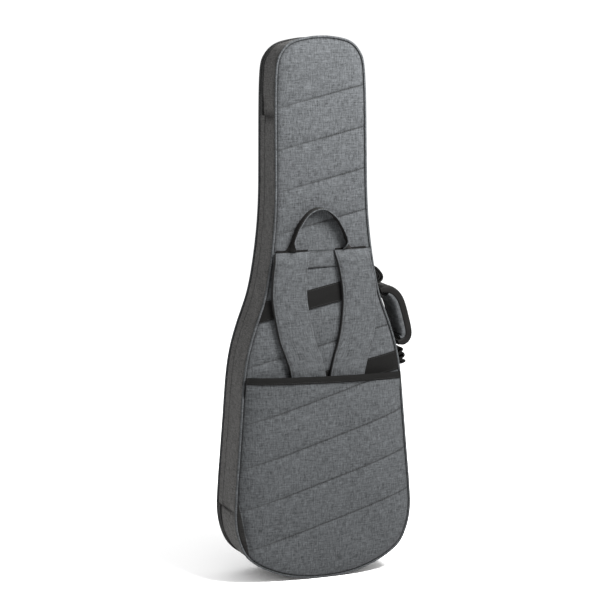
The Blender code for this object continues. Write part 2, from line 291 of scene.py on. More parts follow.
def heather_cloth(name, dark, light, warm):
    """Melange cloth: two-tone yarns with slubs along warp and weft, darker where it is sewn down, as painted
    shade.
    """
    paint = Paint(name, Specular_IOR_Level=0.07)
    uv = paint.uv()
    warp = paint.noise(paint.scaled(uv, (1.3, 0.16, 1)), 1.0, 3.0, 0.7)
    weft = paint.noise(paint.scaled(uv, (0.15, 1.2, 1)), 1.0, 3.0, 0.7)
    slub = paint.noise(paint.scaled(uv, (0.42, 0.06, 1)), 1.0, 2.0, 0.6)
    slub_across = paint.noise(paint.scaled(uv, (0.055, 0.4, 1)), 1.0, 2.0, 0.6)
    wash = paint.noise(paint.scaled(uv, (0.012, 0.012, 1)), 1.0, 2.0, 0.5)
    yarn = warp * 0.28 + weft * 0.26 + slub * 0.24 + slub_across * 0.22
    tone = yarn.ranged(0.4, 0.61) * 0.84 + wash * 0.18
    # painted shade: this attribute darkens the colour along sewn lines and beside the piping
    sewn = paint.node("ShaderNodeAttribute", {"attribute_name": "painted_seam_shade"}, (), "Fac")
    plain = paint.mix(tone.ranged(0.0, 1.0), grey(dark, warm), grey(light, warm))
    paint.feed("Base Color", paint.mix(sewn * 0.9, plain, grey(dark * 0.16, warm)))
    across, up = ((paint.axis(uv, k) * (math.pi / WEAVE)).sine() for k in (0, 1))
    knit = (across * up) * 0.5 + 0.5
    paint.bump(knit * 0.5 + yarn * 0.9, 0.5, 0.0006)
    paint.feed("Roughness", (1 - tone * 0.1) * 0.96)
    return paint.material


def ribbed_webbing(name, level, rib=1.6):
    """Woven nylon webbing: ribs along its length, a fine twill across, and softer worn crests."""
    paint = Paint(name, Specular_IOR_Level=0.05)
    uv = paint.uv()
    x, y = paint.axis(uv, 0), paint.axis(uv, 1)
    ribs = (x * (2 * math.pi / rib)).sine() * 0.5 + 0.5
    slant = ((x.size() + y) * (2 * math.pi / 1.1)).sine() * 0.5 + 0.5
    fuzz = paint.noise(uv, 0.9, 3.0, 0.7)
    wear = paint.noise(paint.scaled(uv, (0.05, 0.02, 1)), 1.0, 3.0, 0.6)
    tone = ribs * 0.35 + slant * 0.25 + fuzz * 0.4 + wear * 0.3
    paint.feed("Base Color", paint.mix(tone.ranged(0.25, 1.1), grey(level * 0.55, 0.03),
                                       grey(level * 1.7, 0.03)))
    paint.bump(ribs * 0.6 + slant * 0.4, 0.6, 0.0006)
    paint.feed("Roughness", fuzz.ranged(0.3, 0.7, 0.62, 0.82))
    return paint.material


def zip_tape_cloth(name):
    """Tight knitted tape: a fine herringbone."""
    paint = Paint(name, Specular_IOR_Level=0.06)
    uv = paint.uv()
    x, y = paint.axis(uv, 0), paint.axis(uv, 1)
    bone = ((y + (x * (math.pi / 1.4)).sine() * 0.4) * (2 * math.pi / 0.9)).sine() * 0.5 + 0.5
    fuzz = paint.noise(uv, 0.7, 3.0, 0.6)
    paint.feed("Base Color", paint.mix((bone * 0.5 + fuzz * 0.5).ranged(0.2, 0.8), grey(0.006),
                                       grey(0.021)))
    paint.bump(bone, 0.5, 0.0004)
    paint.feed("Roughness", fuzz.ranged(0.3, 0.7, 0.6, 0.8))
    return paint.material


def nylon_coil(name):
    paint = Paint(name, Specular_IOR_Level=0.06)
    spot = paint.place()
    fleck = paint.noise(spot, 0.8, 2.0, 0.5)
    paint.feed("Base Color", paint.mix(fleck, grey(0.008), grey(0.022)))
    paint.feed("Roughness", fleck.ranged(0.3, 0.7, 0.55, 0.75))
    paint.bump(fleck, 0.15, 0.0003)
    return paint.material


def fleece(name, level):
    """Brushed lining: a soft nap with darker hollows, as painted shade."""
    paint = Paint(name, Sheen_Weight=0.12, Sheen_Roughness=0.7, Specular_IOR_Level=0.08)
    spot = paint.place()
    pile = paint.noise(spot, 1 / NAP, 4.0, 0.7)
    cloud = paint.noise(spot, 0.02, 3.0, 0.6)
    tone = (pile * 0.7 + cloud * 0.4).ranged(0.35, 0.75)
    paint.feed("Base Color", paint.mix(tone, grey(level * 0.6), grey(level * 1.5)))
    paint.bump(pile, 0.7, 0.0012)
    paint.feed("Roughness", pile.ranged(0.3, 0.7, 0.85, 1.0))
    return paint.material


def air_mesh(name):
    """Spacer mesh on the back of the straps: rows of small oval holes in a ribbed knit."""
    paint = Paint(name, Specular_IOR_Level=0.1)
    uv = paint.uv()
    x = (paint.axis(uv, 0) * (2 * math.pi / 3.2)).sine()
    y = (paint.axis(uv, 1) * (2 * math.pi / 4.4)).sine()
    hole = (x * y).ranged(0.35, 0.7)
    fuzz = paint.noise(uv, 0.8, 3.0, 0.6)
    # painted shade: the holes are painted darker than the knit around them
    paint.feed("Base Color", paint.mix(hole, grey(0.011), grey(0.002)))
    paint.bump(1 - hole + fuzz * 0.3, 0.8, 0.001)
    paint.feed("Roughness", fuzz.ranged(0.3, 0.7, 0.75, 0.95))
    return paint.material


def moulded_rubber(name):
    """Soft-touch handle rubber with a fine matt grain and rubbed crests."""
    paint = Paint(name, Specular_IOR_Level=0.05)
    uv = paint.uv()
    grain = paint.noise(uv, 1.3, 3.0, 0.6)
    streak = paint.noise(paint.scaled(uv, (0.5, 0.035, 1)), 1.0, 3.0, 0.6)
    tone = (grain * 0.4 + streak * 0.6).ranged(0.35, 0.68)
    paint.feed("Base Color", paint.mix(tone, grey(0.002, 0.04), grey(0.007, 0.03)))
    paint.feed("Roughness", tone.ranged(0, 1, 0.72, 0.48))
    paint.bump(grain * 0.6 + streak * 0.6, 0.35, 0.0008)
    return paint.material


def black_metal(name):
    """Black plating, brighter where the edges rub through."""
    paint = Paint(name, Specular_IOR_Level=0.5)
    spot = paint.place()
    cast = paint.noise(spot, 0.5, 4.0, 0.6)
    edge = paint.node("ShaderNodeNewGeometry", {}, (), "Pointiness").ranged(0.5, 0.58)
    rub = edge * cast.ranged(0.35, 0.65)
    paint.feed("Base Color", paint.mix(rub, grey(0.012), grey(0.07, 0.03)))
    paint.feed("Metallic", rub * 0.5 + 0.5)
    paint.feed("Roughness", cast.ranged(0.3, 0.7, 0.28, 0.5))
    paint.bump(cast, 0.12, 0.0004)
    return paint.material


def black_plastic(name):
    paint = Paint(name, Specular_IOR_Level=0.45)
    spot = paint.place()
    grain = paint.noise(spot, 2.4, 2.0, 0.5)
    handling = paint.noise(spot, 0.08, 3.0, 0.6)
    paint.feed("Base Color", paint.mix(handling, grey(0.01), grey(0.024)))
    paint.feed("Roughness", handling.ranged(0.35, 0.65, 0.36, 0.55))
    paint.bump(grain, 0.2, 0.0002)
    return paint.material


def sewing_thread(name, level):
    """Twisted thread."""
    paint = Paint(name, Specular_IOR_Level=0.15, Roughness=0.7)
    spot = paint.place()
    twist = ((paint.axis(spot, 0) + paint.axis(spot, 2) * 1.6) * 9.0).sine() * 0.5 + 0.5
    fuzz = paint.noise(spot, 1.5, 2.0, 0.5)
    paint.feed("Base Color", paint.mix(twist * 0.6 + fuzz * 0.4, grey(level * 0.6),
                                       grey(level * 1.4)))
    paint.bump(twist, 0.3, 0.0002)
    return paint.material


CLOTH = heather_cloth("heather_cloth", 0.007, 0.062, -0.05)
SIDE_CLOTH = heather_cloth("side_heather_cloth", 0.011, 0.084, 0.02)
# painted shade: a near-black copy of the heather cloth, for the shade on the grab loop's faces and in the
# pocket's cut corner
SHADE_CLOTH = heather_cloth("painted_shade_cloth", 0.003, 0.014, 0.03)
WEBBING = ribbed_webbing("black_webbing_weave", 0.003)
BINDING = ribbed_webbing("binding_tape", 0.003, 1.1)
ZIP_TAPE = zip_tape_cloth("zip_tape_knit")
COIL = nylon_coil("nylon_coil")
LINING = fleece("dark_fleece", 0.03)
CRADLE_CLOTH = fleece("cradle_fleece", 0.045)
MESH = air_mesh("strap_air_mesh")
RUBBER = moulded_rubber("handle_rubber_grain")
METAL = black_metal("black_plated_metal")
PLASTIC = black_plastic("black_moulded_plastic")
GREY_THREAD = sewing_thread("grey_thread", 0.02)
BLACK_THREAD = sewing_thread("black_thread", 0.008)

# ---------------------------------------------------------------- building cloth


def finish_piece(obj, body, replaced=()):
    """Ride a body and stand for CAD nodes."""
    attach(obj, body)
    if replaced:
        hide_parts(*replaced)
    return obj


def link_up(name, data):
    obj = bpy.data.objects.new(name, data)
    bpy.context.scene.collection.objects.link(obj)
    return obj


def select_only(obj):
    bpy.ops.object.select_all(action="DESELECT")
    bpy.context.view_layer.objects.active = obj
    obj.select_set(True)


def apply_all(obj):
    select_only(obj)
    for mod in list(obj.modifiers):
        bpy.ops.object.modifier_apply(modifier=mod.name)
    obj.select_set(False)
    return obj


def smooth_shaded(obj, angle=50):
    obj.data.shade_smooth()
    obj.data.set_sharp_from_angle(angle=math.radians(angle))
    return obj


def rebuilt(mesh, *edits):
    """Pass a mesh through bmesh operations and back."""
    bm = bmesh.new()
    bm.from_mesh(mesh)
    for change in edits:
        change(bm)
    bm.to_mesh(mesh)
    bm.free()


def weld(bm):
    bmesh.ops.remove_doubles(bm, verts=bm.verts, dist=1e-6)
    bmesh.ops.dissolve_degenerate(bm, edges=bm.edges, dist=1e-6)


def fill_ends(bm):
    bmesh.ops.holes_fill(bm, edges=[e for e in bm.edges if e.is_boundary], sides=0)


def face_out(bm):
    bmesh.ops.recalc_face_normals(bm, faces=bm.faces)


def close_ends(obj):
    """Fill a tube's open ends and point every face out."""
    rebuilt(obj.data, fill_ends, face_out)
    return smooth_shaded(obj, 55)


def solid_bits(name, verts, faces, mat, angle):
    """Many small closed solids in one mesh, from corners in bag millimetres."""
    mesh = bpy.data.meshes.new(name)
    mesh.from_pydata(to_world(verts).tolist(), [], faces)
    rebuilt(mesh, face_out)
    mesh.materials.append(mat)
    return smooth_shaded(link_up(name, mesh), angle)


def grid_piece(name, points, flat, mat, flip=False):
    """Cloth from rows of points, in bag millimetres, with its flat layout as its own UV map.

    A tube's rows each end on the point they start from.
    """
    points, flat = np.asarray(points, float), np.asarray(flat, float)
    rows, cols = points.shape[:2]
    mesh = bpy.data.meshes.new(name)
    numbers = np.arange(rows * cols).reshape(rows, cols)
    a, b, c, d = numbers[:-1, :-1], numbers[:-1, 1:], numbers[1:, 1:], numbers[1:, :-1]
    order = (a, d, c, b) if flip else (a, b, c, d)
    faces = np.stack(order, -1).reshape(-1, 4)
    mesh.from_pydata(to_world(points.reshape(-1, 3)).tolist(), [], faces.tolist())
    layer = mesh.uv_layers.new(name="cloth")
    loops = np.zeros(len(mesh.loops), int)
    mesh.loops.foreach_get("vertex_index", loops)
    layer.data.foreach_set("uv", (flat.reshape(-1, 2)[loops] * MM).ravel())
    rebuilt(mesh, weld)
    mesh.materials.append(mat)
    return smooth_shaded(link_up(name, mesh))


def store_seam_shade(obj, amount):
    """Store painted shade along sewn lines: how dark it is at each point, a function of bag x, y and z, 0 to
    1.
    """
    spots = np.zeros(len(obj.data.vertices) * 3)
    obj.data.vertices.foreach_get("co", spots)
    x, y, z = to_bag(spots.reshape(-1, 3)).T
    layer = obj.data.attributes.new("painted_seam_shade", "FLOAT", "POINT")
    layer.data.foreach_set("value", np.clip(amount(x, y, z), 0, 1).astype(np.float32))
    return obj


def thicken(obj, thick, offset=-1.0, inner=None):
    """Give a sheet its thickness, in millimetres, and another cloth on its inner face."""
    mod = obj.modifiers.new("thickness", "SOLIDIFY")
    mod.thickness = thick * MM
    mod.offset = offset
    if inner:
        obj.data.materials.append(inner)
        mod.material_offset = 1
    apply_all(obj)
    return smooth_shaded(obj)


def wobble(x, y, z, size, seed):
    """Smooth noise from -1 to 1 at points in millimetres."""
    flat = np.broadcast_arrays(x, y, z)
    out = np.empty(flat[0].size)
    for i, (a, b, c) in enumerate(zip(*(f.ravel() for f in flat))):
        out[i] = noise.noise((a / size + seed, b / size, c / size))
    return out.reshape(flat[0].shape)


def crossings(polygon, normal, level):
    """Where the line normal . p = level crosses a closed polygon: its two outermost points."""
    value = polygon @ normal - level
    after = np.roll(value, -1)
    hit = np.nonzero((value <= 0) != (after <= 0))[0]
    share = value[hit] / (value[hit] - after[hit])
    nxt = np.roll(polygon, -1, 0)
    found = polygon[hit] + (nxt[hit] - polygon[hit]) * share[:, None]
    return found[np.argmin(found[:, 0])], found[np.argmax(found[:, 0])]


NEAR_SEAM = (0, 0.9, 2.2, 4.2, 7.0)
NEAR_END = (0.02, 0.4, 1.2, 2.6, 5, 8.5, 13)


def quilt_levels(low, high, seams, coarse):
    """Row levels from low to high, close together beside each sewn line and at the two ends."""
    spots = {round(s + side * n, 3) for s in seams for n in NEAR_SEAM for side in (-1, 1)}
    spots |= {round(spot, 3) for n in NEAR_END for spot in (low + n, high - n)}
    spots = sorted(s for s in spots if low < s < high)
    out = [spots[0]]
    for s in spots[1:]:
        gap = s - out[-1]
        if gap < 0.35:
            continue
        parts = max(1, math.ceil(gap / coarse))
        start = out[-1]
        out += [start + gap * k / parts for k in range(1, parts + 1)]
    return out


def quilted(name, polygon, slope, seams, surface, mat, coarse=5.0, columns=64, flip=False):
    """Cloth over a closed polygon in x and z, its rows running along sewn lines of one slope.

    seams are the lines' heights where they cross x = 0, and surface(x, z) gives y.
    """
    normal = np.array([-slope, 1.0])
    value = polygon @ normal
    levels = quilt_levels(value.min(), value.max(), seams, coarse)
    ease = 0.5 - 0.5 * np.cos(np.linspace(0, math.pi, columns + 1))
    share = 0.45 * ease + 0.55 * np.linspace(0, 1, columns + 1)
    rows = []
    for level in levels:
        left, right = crossings(polygon, normal, level)
        rows.append(left + (right - left) * share[:, None])
    rows = np.array(rows)
    x, z = rows[..., 0], rows[..., 1]
    points = np.stack([x, surface(x, z), z], -1)
    return grid_piece(name, points, rows, mat, flip=flip)


def edge_distance(x, z, polygon):
    """Distance of points from a closed polygon's edge, in millimetres."""
    a = polygon
    b = np.roll(polygon, -1, 0)
    step = b - a
    size = (step ** 2).sum(1) + 1e-12
    flat = np.stack([x.ravel(), z.ravel()], 1)
    best = np.full(len(flat), 1e9)
    for start, along, square in zip(a, step, size):
        t = np.clip(((flat - start) @ along) / square, 0, 1)
        gap = flat - start - t[:, None] * along
        best = np.minimum(best, (gap ** 2).sum(1))
    return np.sqrt(best).reshape(x.shape)


def seam_distance(x, z, slope, seams):
    across = math.cos(math.atan(slope))
    level = z - slope * x
    return np.min([np.abs(level - s) * across for s in seams], axis=0)


# ---------------------------------------------------------------- camera, floor and light

CAMERA_YAW, CAMERA_PITCH, CAMERA_ROLL = math.radians(20), math.radians(9.5), math.radians(-0.43)
CAMERA_AWAY = 4.1745
CAMERA_AIM = Vector((0, 0, TALL / 2)) * MM + ZERO
FLOOR_GAP = PIPING_R + 0.3


def camera_turn():
    """The camera's right, up and backward directions, from behind the bag towards its hinge side."""
    back = Vector((-math.sin(CAMERA_YAW) * math.cos(CAMERA_PITCH),
                   -math.cos(CAMERA_YAW) * math.cos(CAMERA_PITCH), math.sin(CAMERA_PITCH)))
    level = Vector((math.cos(CAMERA_YAW), -math.sin(CAMERA_YAW), 0))
    up = back.cross(level)
    right = level * math.cos(CAMERA_ROLL) + up * math.sin(CAMERA_ROLL)
    return right, back.cross(right), back


def add_camera():
    right, up, back = camera_turn()
    data = bpy.data.cameras.new("studio_camera")
    data.lens = 130.5
    data.shift_x, data.shift_y = -0.0372, 0.0198
    camera = link_up("studio_camera", data)
    camera.matrix_world = Matrix.Translation(CAMERA_AIM + back * CAMERA_AWAY) @ Matrix(
        (right, up, back)).transposed().to_4x4()
    bpy.context.scene.camera = camera


def add_softbox(name, place, aim, wide, tall, power):
    data = bpy.data.lights.new(name, "AREA")
    data.shape = "RECTANGLE"
    data.size, data.size_y = wide, tall
    data.energy = power
    light = link_up(name, data)
    place, aim = Vector(place), Vector(aim)
    light.location = place
    light.rotation_euler = (aim - place).to_track_quat("-Z", "Y").to_euler()


def add_studio():
    world = bpy.data.worlds.new("studio_air")
    world.use_nodes = True
    sky = world.node_tree.nodes["Background"]
    sky.inputs["Color"].default_value = (1, 1, 1, 1)
    sky.inputs["Strength"].default_value = WORLD_LIGHT
    bpy.context.scene.world = world
    bpy.ops.mesh.primitive_plane_add(size=60, location=(0, 0, ZERO.z - FLOOR_GAP * MM))
    floor = bpy.context.active_object
    floor.name = "studio_floor"
    paint = Paint("pale_floor", Roughness=1.0, Specular_IOR_Level=0.0)
    mottle = paint.noise(paint.place(), 0.004, 3.0, 0.5)
    paint.feed("Base Color", paint.mix(mottle, grey(0.95), grey(0.97)))
    floor.data.materials.append(paint.material)
    add_softbox("key_softbox", (0.55, -0.85, 0.95), (0, 0, 0.25), 0.6, 0.6, KEY_LIGHT)
    add_softbox("rim_softbox", (0.6, 2.6, 1.6), (0, 0, -0.2), 2.0, 1.6, 10)


WORLD_LIGHT = 1.12
KEY_LIGHT = 120
bpy.context.scene.view_settings.view_transform = "Standard"
add_camera()
add_studio()

# ---------------------------------------------------------------- back: panel and pocket

QUILT_SLOPE = 0.232
QUILT_PITCH = 79.5
BACK_SEAMS = [699 + QUILT_PITCH * k for k in range(-8, 4)]
POCKET_SLOPE = 0.29
POCKET_SEAMS = [363, 279, 197, 113.5]
RIM_LEAN = -0.03
POCKET_STAND = 19
POCKET_FOOT = 12
CORNER_HIGH, CORNER_LOW = (-173, 151), (-154.5, 54)


def inset_outline(amount):
    return OUTLINE - NORMALS * amount


BACK_EDGE = inset_outline(1.6)


def sewn_line(distance, wide=1.0):
    """1 on a sewn line, falling to nothing a few millimetres away."""
    return np.exp(-np.abs(distance / wide) ** 1.5)


def back_y(x, z):
    """The back's outer face: dipping to the piping, and puffed between its sewn lines."""
    e = edge_distance(x, z, BACK_EDGE)
    s = seam_distance(x, z, QUILT_SLOPE, BACK_SEAMS)
    swell = 1 - np.exp(-e / 4.0)
    puff = (1 - np.exp(-s / 7)) * (1 - np.exp(-e / 14))
    crease = wobble(x, 0, z, 34, 3) * 0.6 + wobble(x, 0, z, 13, 7) * 0.35 * np.exp(-s / 14)
    return 1.6 - 3.2 * swell - 3.4 * puff - crease * (1 - np.exp(-e / 12))


def back_seam_shading(x, y, z):
    e = edge_distance(x, z, BACK_EDGE)
    s = seam_distance(x, z, QUILT_SLOPE, BACK_SEAMS)
    # Painted shade: dark along the quilting lines, more so towards +x, and beside the piping.
    drawn = 0.38 + 0.52 * smooth(-55, 45, x)
    return np.maximum(sewn_line(s, 1.2) * drawn, sewn_line(e, 2.0))


def pocket_lift(x, z):
    """How far the pocket's cloth stands off the back: sewn round its edge, open at its rim."""
    half = half_width(z) - 5
    u = np.clip(np.abs(x / half), 0, 1)
    v = np.clip((z - POCKET_FOOT) / (RIM_Z - POCKET_FOOT), 0, 1)
    return 3.4 + POCKET_STAND * (1 - u ** 4) * (1 - (1 - v) ** 4)


def clip_below(polygon, point, direction):
    """The part of a polygon on the right of a line, with the cut edge as straight as the line."""
    normal = np.array([direction[1], -direction[0]]) / math.hypot(*direction)
    value = (polygon - np.asarray(point, float)) @ normal
    out = []
    for i, here in enumerate(polygon):
        j = (i + 1) % len(polygon)
        if value[i] >= 0:
            out.append(here)
        if (value[i] >= 0) != (value[j] >= 0):
            out.append(here + (polygon[j] - here) * value[i] / (value[i] - value[j]))
    return np.array(out)


def rim_height(x):
    return RIM_Z - 0.5 + RIM_LEAN * x


POCKET_EDGE = inset_outline(1.8)
POCKET_EDGE = clip_below(POCKET_EDGE, (0, rim_height(0)), (1, RIM_LEAN))
CHORD = (CORNER_HIGH[0] - CORNER_LOW[0], CORNER_HIGH[1] - CORNER_LOW[1])
POCKET_EDGE = clip_below(POCKET_EDGE, CORNER_LOW, CHORD)


def pocket_y(x, z):
    """The pocket's outer face."""
    e = edge_distance(x, z, POCKET_EDGE)
    open_rim = smooth(RIM_Z - 40, RIM_Z - 4, z)
    e = e + 40 * open_rim
    s = seam_distance(x, z, POCKET_SLOPE, POCKET_SEAMS)
    hem = 1 - np.exp(-e / 4)
    puff = (1 - np.exp(-s / 11)) * (1 - np.exp(-e / 18))
    crease = wobble(x, 0, z, 60, 11) * 1.2 + wobble(x, 0, z, 15, 5) * 0.35 * np.exp(-s / 12)
    lift = pocket_lift(x, z) * (1 - np.exp(-e / 5))
    return 1.0 - 2.8 * hem - lift - 3.2 * puff - crease * (1 - np.exp(-e / 12))


def pocket_seam_shading(x, y, z):
    e = edge_distance(x, z, POCKET_EDGE)
    s = seam_distance(x, z, POCKET_SLOPE, POCKET_SEAMS)
    # Painted shade: dark along the pocket's quilting lines, less so at its far left, and along its sewn
    # edge, fading out below the open rim.
    drawn = 0.3 + 0.55 * smooth(-150, -60, x)
    return np.maximum(sewn_line(s, 1.2) * drawn, sewn_line(e, 2.0) * smooth(RIM_Z - 4, RIM_Z - 16, z))


def cloth_area(polygon):
    nxt = np.roll(polygon, -1, 0)
    return abs((polygon[:, 0] * nxt[:, 1] - nxt[:, 0] * polygon[:, 1]).sum()) / 2 * MM * MM


def value_at(at, reach, values):
    """Values given along a line, read at a distance run."""
    return np.array([np.interp(at, reach, values[:, k]) for k in range(3)])


STITCH_SHARE, STITCH_RADIUS = 0.68, 0.42


def stitches(name, rows, body, mat, pitch=4.2):
    """Rows of sewing stitches. Each row is points with the outward direction of the cloth there."""
    ring = [(-0.5, 0.4), (0, 1), (0.5, 0.4)]
    corners = [(1, 0), (0, 1), (-1, 0), (0, -1)]
    verts, faces = [], []
    for line, outward in rows:
        line, outward = np.asarray(line, float), np.asarray(outward, float)
        reach = run_of(line)
        for at in np.arange(pitch, reach[-1] - pitch, pitch):
            spot, ahead = value_at(at, reach, line), value_at(at + 1, reach, line)
            along = (ahead - spot) / np.linalg.norm(ahead - spot)
            out = value_at(at, reach, outward)
            out /= np.linalg.norm(out)
            side = np.cross(along, out)
            first = len(verts)
            for t, size in ring:
                for a, b in corners:
                    lift = out * (b * size * STITCH_RADIUS + 0.15 * size)
                    verts.append(spot + along * t * pitch * STITCH_SHARE
                                 + side * a * size * STITCH_RADIUS * 1.2 + lift)
            for r in (0, 4):
                for k in range(4):
                    n = (k + 1) % 4
                    faces.append([first + r + k, first + r + n, first + r + 4 + n, first + r + 4 + k])
            faces.append([first + 3, first + 2, first + 1, first])
            faces.append([first + 8, first + 9, first + 10, first + 11])
    return finish_piece(solid_bits(name, verts, faces, mat, 70), body)


def stitch_row(x, y, z, out):
    """A row of stitches through points, all facing one way."""
    return np.stack(np.broadcast_arrays(x, y, z), 1), np.tile(out, (len(x), 1))


def seam_rows(polygon, slope, seams, surface, out):
    """Stitch rows along sewn lines, between the edges of a panel."""
    rows = []
    normal = np.array([-slope, 1.0])
    value = polygon @ normal
    for level in seams:
        if not value.min() + 12 < level < value.max() - 12:
            continue
        left, right = crossings(polygon, normal, level)
        x = np.arange(left[0] + 3.0, right[0] - 3.0, 2.0)
        z = level + slope * x
        rows.append(stitch_row(x, surface(x, z), z, out))
    return rows


def padded_panel(names, node, body, edge, slope, seams, surface, amount, thick):
    """Quilted cloth, lined and sewn down, with its stitches and painted shade along its sewn lines: on the
    back shell or on the lid.
    """
    lidward = body == "lid"
    panel = quilted(names[0], edge, slope, seams, surface, CLOTH, flip=lidward)
    store_seam_shade(panel, amount)
    thicken(panel, thick, inner=LINING)
    finish_piece(panel, body, [node])
    out = (0, 1 if lidward else -1, 0)
    stitches(names[1], seam_rows(edge, slope, seams, surface, out), body, GREY_THREAD)


def build_back():
    padded_panel(("back_panel_cloth", "back_quilt_stitches"), "rear_panel", "back_shell", BACK_EDGE,
                 QUILT_SLOPE, BACK_SEAMS, back_y, back_seam_shading, 6.0)
    padded_panel(("back_pocket_cloth", "back_pocket_stitches"), "rear_pocket_panel", "back_shell",
                 POCKET_EDGE, POCKET_SLOPE, POCKET_SEAMS, pocket_y, pocket_seam_shading, 3.0)
    build_corner()
    build_rim_binding()


def build_corner():
    """Near-black cloth laid on the back as painted shade, where the pocket is cut across the bag's lower
    left corner.
    """
    ring = clip_below(inset_outline(2.2), CORNER_LOW, (-CHORD[0], -CHORD[1]))

    def low_y(x, z):
        return back_y(x, z) - 0.9

    corner = quilted("pocket_corner_painted_shade", ring, 0.0, [], low_y, SHADE_CLOTH, coarse=4.0, columns=16)
    thicken(corner, 0.8)
    finish_piece(corner, "back_shell")


def build_rim_binding():
    """Black tape folded over the pocket's rim, from its outer face to its inner face."""
    left, right = crossings(POCKET_EDGE, np.array([0, 1.0]), RIM_Z - 14)
    xs = np.linspace(left[0] + 0.3, right[0] - 0.3, 120)
    fold = [(1.3, -11.2), (1.5, -10.9), (1.3, -8), (1.4, -3), (1.0, 0.4), (-0.4, 1.4), (-2.6, 1.2),
            (-4.0, -0.4), (-4.4, -4), (-4.3, -9), (-4.2, -10.8), (-3.6, -11.0)]
    rows, flats = [], []
    for x in xs:
        top = rim_height(x) - 0.4
        face = float(pocket_y(np.array([x]), np.array([top - 6]))[0])
        ripple = 0.25 * math.sin(x * 0.21) + 0.2 * noise.noise((x / 9, 0, 0))
        shut = max(0.25, min(1.0, (min(x - xs[0], xs[-1] - x)) / 9))
        row = [(x, face - (out if out > 0 else out * shut) - ripple * 0.4, top + up + ripple * 0.4)
               for out, up in fold]
        rows.append(row)
        flats.append([(up + 3 * k, x) for k, (_, up) in enumerate(fold)])
    tape = grid_piece("back_pocket_rim_tape", rows, flats, BINDING)
    thicken(tape, 0.5)
    finish_piece(tape, "back_shell", ["rear_pocket_binding"])
    x = np.arange(xs[0] + 3, xs[-1] - 3, 2.0)
    z = rim_height(x) - 9.4
    stitches("rim_tape_stitches", [stitch_row(x, pocket_y(x, z - 0.5) - 1.7, z, (0, -1, 0))],
             "back_shell", BLACK_THREAD, 3.6)


build_back()

# ---------------------------------------------------------------- back: webbing bands and yoke

WEB_SLOPE = 0.2
WEB_HALF = 18.8


def taut_band(name, z_mid, stops, lift, surface, mat, thick):
    """Webbing across a face between two ends: stops(z) gives its least and greatest x there."""
    rows, flats = [], []
    for share in np.linspace(-1, 1, 9):
        up = z_mid + share * WEB_HALF
        ends = [0.0, 0.0]
        for _ in range(30):
            ends = [stops(up + WEB_SLOPE * x)[k] for k, x in enumerate(ends)]
        x = np.linspace(ends[0], ends[1], 100)
        z = up + WEB_SLOPE * x
        rows.append(np.stack([x, surface(x, z) - lift, z], 1))
        flats.append(np.stack([np.full(len(x), share * WEB_HALF), x], 1))
    strip = grid_piece(name, rows, flats, mat)
    return thicken(strip, thick)


def band_line(z_mid, x_from, x_to):
    x = np.arange(x_from, x_to + 0.01, 3.0)
    return np.stack([x, z_mid + WEB_SLOPE * x], 1)


def over_back(x, z):
    """What a taut band rests on: the back's face without its finest puffs."""
    e = edge_distance(x, z, BACK_EDGE)
    return 1.2 - 3.0 * (1 - np.exp(-e / 4.5)) - 2.2 * (1 - np.exp(-e / 16)) - 0.35


def path_frames(path):
    """For each point of a path in x and z, its outward normal and the distance run."""
    along = unit_rows(np.gradient(path, axis=0))
    return np.stack([-along[:, 1], along[:, 0]], 1), run_of(path)


def edge_rows(line, half, lift, surface):
    """Two stitch rows, one near each edge of a flat strip."""
    line = np.asarray(line, float)
    across, _ = path_frames(line)
    rows = []
    for side in (-1, 1):
        xz = line + across * half * 0.86 * side
        rows.append(stitch_row(xz[:, 0], surface(xz[:, 0], xz[:, 1]) - lift, xz[:, 1], (0, -1, 0)))
    return rows


def band_ends(node):
    """A band's left end and its height at the bag's middle, from its CAD strip."""
    middle = box_middle(node)
    return bag_box(node)[0][0], middle[2] - WEB_SLOPE * middle[0]


def build_bands():
    for name, node in (("upper_web_tape", "upper_web_band"), ("lower_web_tape", "lower_web_band")):
        x_from, z_mid = band_ends(node)
        tucked = z_mid + WEB_SLOPE * x_from < RIM_Z

        def stops(z):
            side = half_width(z) - 1.2
            return (x_from if tucked else -side), side

        tape_piece = taut_band(name, z_mid, stops, 1.5, over_back, WEBBING, 1.3)
        finish_piece(tape_piece, "back_shell", [node])
        inner = -half_width(z_mid + WEB_SLOPE * x_from) + 4
        line = band_line(z_mid, x_from + 3 if tucked else inner, half_width(z_mid) - 6)
        stitches(name + "_stitches", edge_rows(line, WEB_HALF, 1.5, over_back), "back_shell",
                 BLACK_THREAD, 3.4)


